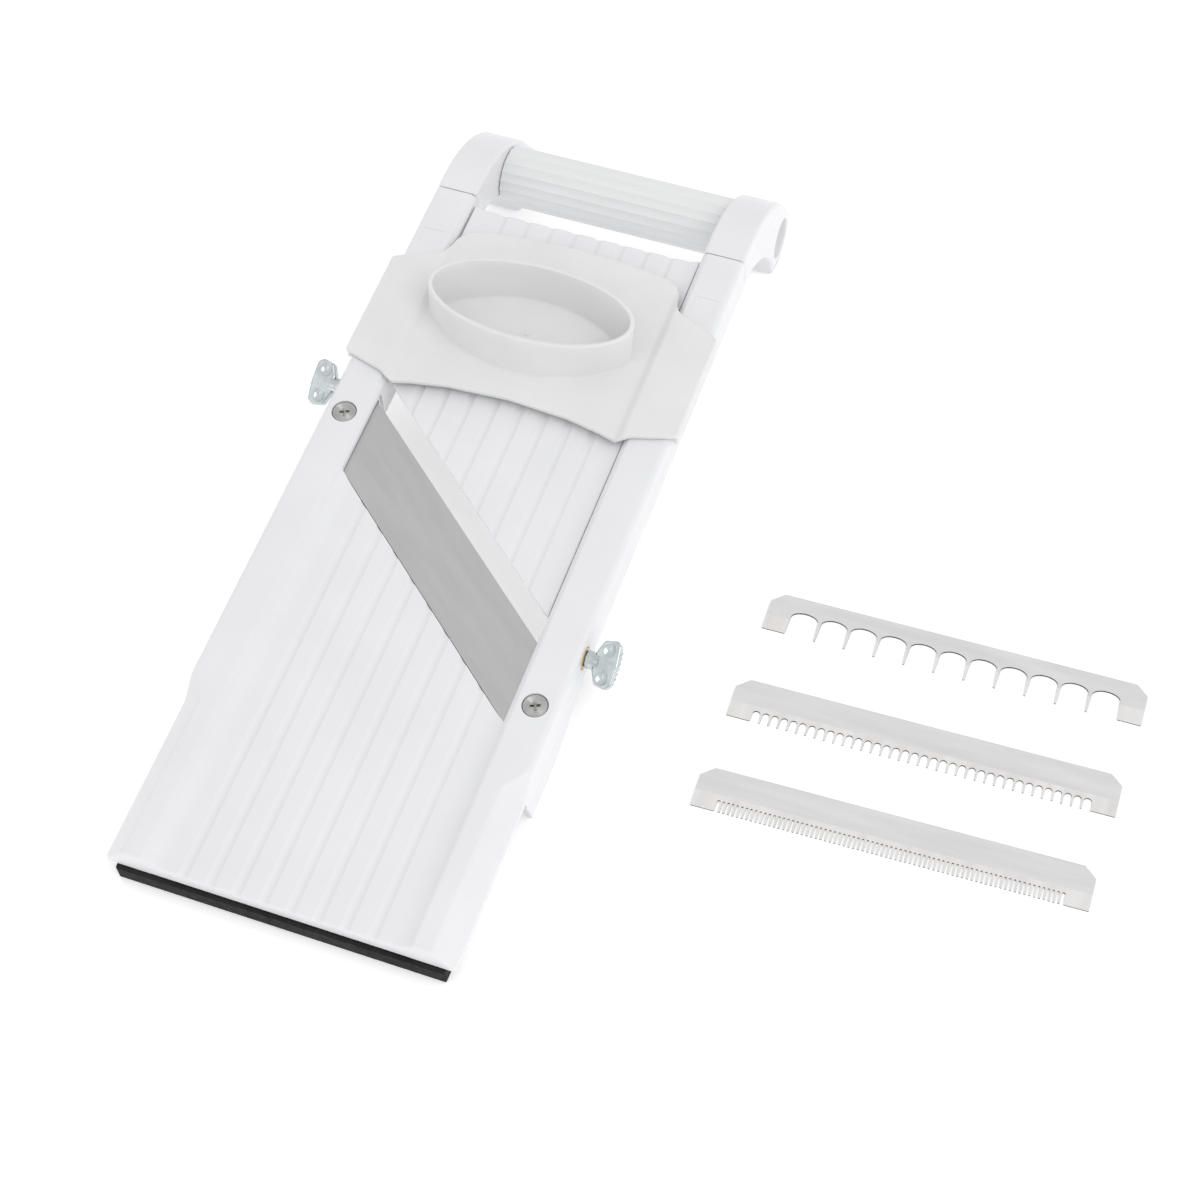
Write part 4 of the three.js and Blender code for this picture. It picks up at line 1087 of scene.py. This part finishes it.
def guard():
    sheet = guard_sheet()
    lips = block((RAIL_OUT + 0.6, GUARD_HALF), (218, 263), (GUARD_LOW.z, GUARD_WING - 1), 0.5)
    outside = cup_solid(0, GUARD_FLOOR - 0.3, 1.4, 0.8)
    inside = cup_solid(-CUP_WALL, GUARD_FLOOR, -1.2, -0.5)
    gate = turned([(1.3, GUARD_FLOOR - 0.5), (1.3, GUARD_FLOOR + 0.25), (1.0, GUARD_FLOOR + 0.4),
                   (0.3, GUARD_FLOOR + 0.3)], (-3.6, 246), segments=32)
    teeth = []
    for row in (222, 266, 275):
        for column in range(-2, 3):
            bottom = GUARD_FLOOR - GUARD_THICK
            teeth.append(turned([(0.12, bottom - 1), (0.35, bottom - 0.85), (0.85, bottom + 0.2)],
                                (column * GROOVE_PITCH, row), segments=20))
    body = join(sheet, lips, mirrored(lips), outside, *teeth)
    lid = block((-60, 60), (180, 300), (CUP_TOP - 0.02, CUP_TOP + 6))
    body = join(cut(body, inside, lid), gate)
    clean(body)
    return piece(body, "guard_moulding", FROSTED, "guard", ["hand_guard"], sharp=40)


guard()

# ---------------------------------------------------------------- comb blades
COMB_LENGTH, COMB_HEIGHT, COMB_THICK, COMB_TAB = 140, 17.1, 0.7, 8.7
COMB_CHAMFER = (4.5, 4.1)
GROUND_WIDTH, GROUND_DROP = 6.6, 0.3
COMBS = {
    "coarse": {"turn": 1.566, "count": 11, "tooth": 0.75, "taper": 0.3, "root": 7.9,
               "depth": 10.7, "arc": 18},
    "medium": {"turn": 1.804, "count": 36, "tooth": 0.6, "taper": 0.1, "root": 3.4, "depth": 4.7, "arc": 8},
    "fine": {"turn": 2.043, "count": 74, "tooth": 0.75, "taper": 0.04, "root": 4.1, "depth": 4.6, "arc": 6},
}


def comb_outline(gaps):
    pitch = (COMB_LENGTH - 2 * COMB_TAB) / gaps["count"]
    points = [(0, 0), (COMB_TAB, 0)]
    for i in range(gaps["count"]):
        start = COMB_TAB + i * pitch + (gaps["tooth"] / 2 if i else 0)
        stop = COMB_TAB + (i + 1) * pitch - (gaps["tooth"] / 2 if i < gaps["count"] - 1 else 0)
        if i:
            points.append((start, 0))
        for step in range(gaps["arc"] + 1):
            angle = math.pi * (1 - step / gaps["arc"])
            half = (stop - start) / 2 - gaps["taper"]
            points.append(((start + stop) / 2 + half * math.cos(angle),
                           gaps["root"] + (gaps["depth"] - gaps["root"]) * math.sin(angle)))
        points.append((stop, 0))
    across, down = COMB_CHAMFER
    points += [(COMB_LENGTH, 0), (COMB_LENGTH, COMB_HEIGHT - down), (COMB_LENGTH - across, COMB_HEIGHT),
               (across, COMB_HEIGHT), (0, COMB_HEIGHT - down)]
    return points


def comb(name):
    """A loose comb blade with its teeth ground thinner from one face; cut edges stay dark."""
    gaps = COMBS[name]
    node = f"comb_blade_{name}"
    low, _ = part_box(node)
    turn = math.radians(gaps["turn"])
    corner = Vector((low.x + (COMB_HEIGHT - COMB_CHAMFER[1]) * math.sin(turn) * MM, low.y, low.z))
    into = Matrix.Translation(corner) @ Matrix.Rotation(turn, 4, "Z") @ Matrix.Scale(MM, 4)
    body = prism(comb_outline(gaps), 0, COMB_THICK, plan)
    wedge = prism([(-1, COMB_THICK - GROUND_DROP * (1 + 1 / GROUND_WIDTH)), (GROUND_WIDTH, COMB_THICK),
                   (GROUND_WIDTH, COMB_THICK + 2), (-1, COMB_THICK + 2)], -5, COMB_LENGTH + 5, side)
    body = cut(body, wedge)
    for face in body.data.polygons:
        if abs(face.normal.z) < 0.5:
            face.material_index = 1
        elif 0.9 < face.normal.z < 0.9998:
            face.material_index = 2
    looks, body_name = [COMB, CUT_EDGE, GROUND], node.replace("comb_blade", "comb")
    return piece(body, f"comb_sheet_{name}", looks, body_name, [node], into=into, sharp=20)


for kind in COMBS:
    comb(kind)


# ---------------------------------------------------------------- floor, light and camera
def floor():
    size, thick = 6.0, 0.02
    slab = block((-size, size), (-size, size), (-thick, 0))
    slab.name = "floor"
    finish = Finish("pale_floor", (0.93, 0.93, 0.93), 0.7)
    finish.colours(finish.noise(8, detail=3), (0.925, 0.925, 0.925), (0.935, 0.935, 0.935))
    finish.roughness(finish.noise(40), 0.65, 0.8)
    finish.set(finish.shader, Emission_Color=(1, 1, 1, 1), Emission_Strength=FLOOR_GLOW)
    slab.data.materials.append(finish.material)


def soft_light(name, place, target, size, power):
    lamp = bpy.data.lights.new(name, "AREA")
    lamp.shape = "SQUARE"
    lamp.size = size
    lamp.energy = power
    obj = bpy.data.objects.new(name, lamp)
    bpy.context.scene.collection.objects.link(obj)
    obj.location = place
    obj.rotation_mode = "QUATERNION"
    obj.rotation_quaternion = (Vector(target) - Vector(place)).to_track_quat("-Z", "Y")


def sky(strength):
    world = bpy.data.worlds.new("studio")
    world.use_nodes = True
    background = world.node_tree.nodes["Background"]
    background.inputs["Color"].default_value = (1, 1, 1, 1)
    background.inputs["Strength"].default_value = strength
    bpy.context.scene.world = world


def camera(place, right, up, lens):
    data = bpy.data.cameras.new("camera")
    data.lens = lens
    data.sensor_width = 36
    data.clip_start, data.clip_end = 0.05, 20
    obj = bpy.data.objects.new("camera", data)
    bpy.context.scene.collection.objects.link(obj)
    right, up = Vector(right).normalized(), Vector(up).normalized()
    turn = Matrix((right, up, right.cross(up))).transposed()
    obj.matrix_world = Matrix.Translation(place) @ turn.to_4x4()
    bpy.context.scene.camera = obj


FLOOR_GLOW = 0.28
floor()
sky(0.86)
CENTRE = (CAD_BOX[0] + CAD_BOX[1]) / 2
soft_light("key", (1.2, -0.3, 1.7), CENTRE, 1.2, 9)
soft_light("fill", (-1.0, -1.4, 1.6), CENTRE, 1.6, 2)
camera((0.24348, -0.33806, 0.71207), (0.93956, 0.34217, -0.01032), (-0.26799, 0.75386, 0.59993), 72.18)
bpy.context.scene.view_settings.view_transform = "Standard"
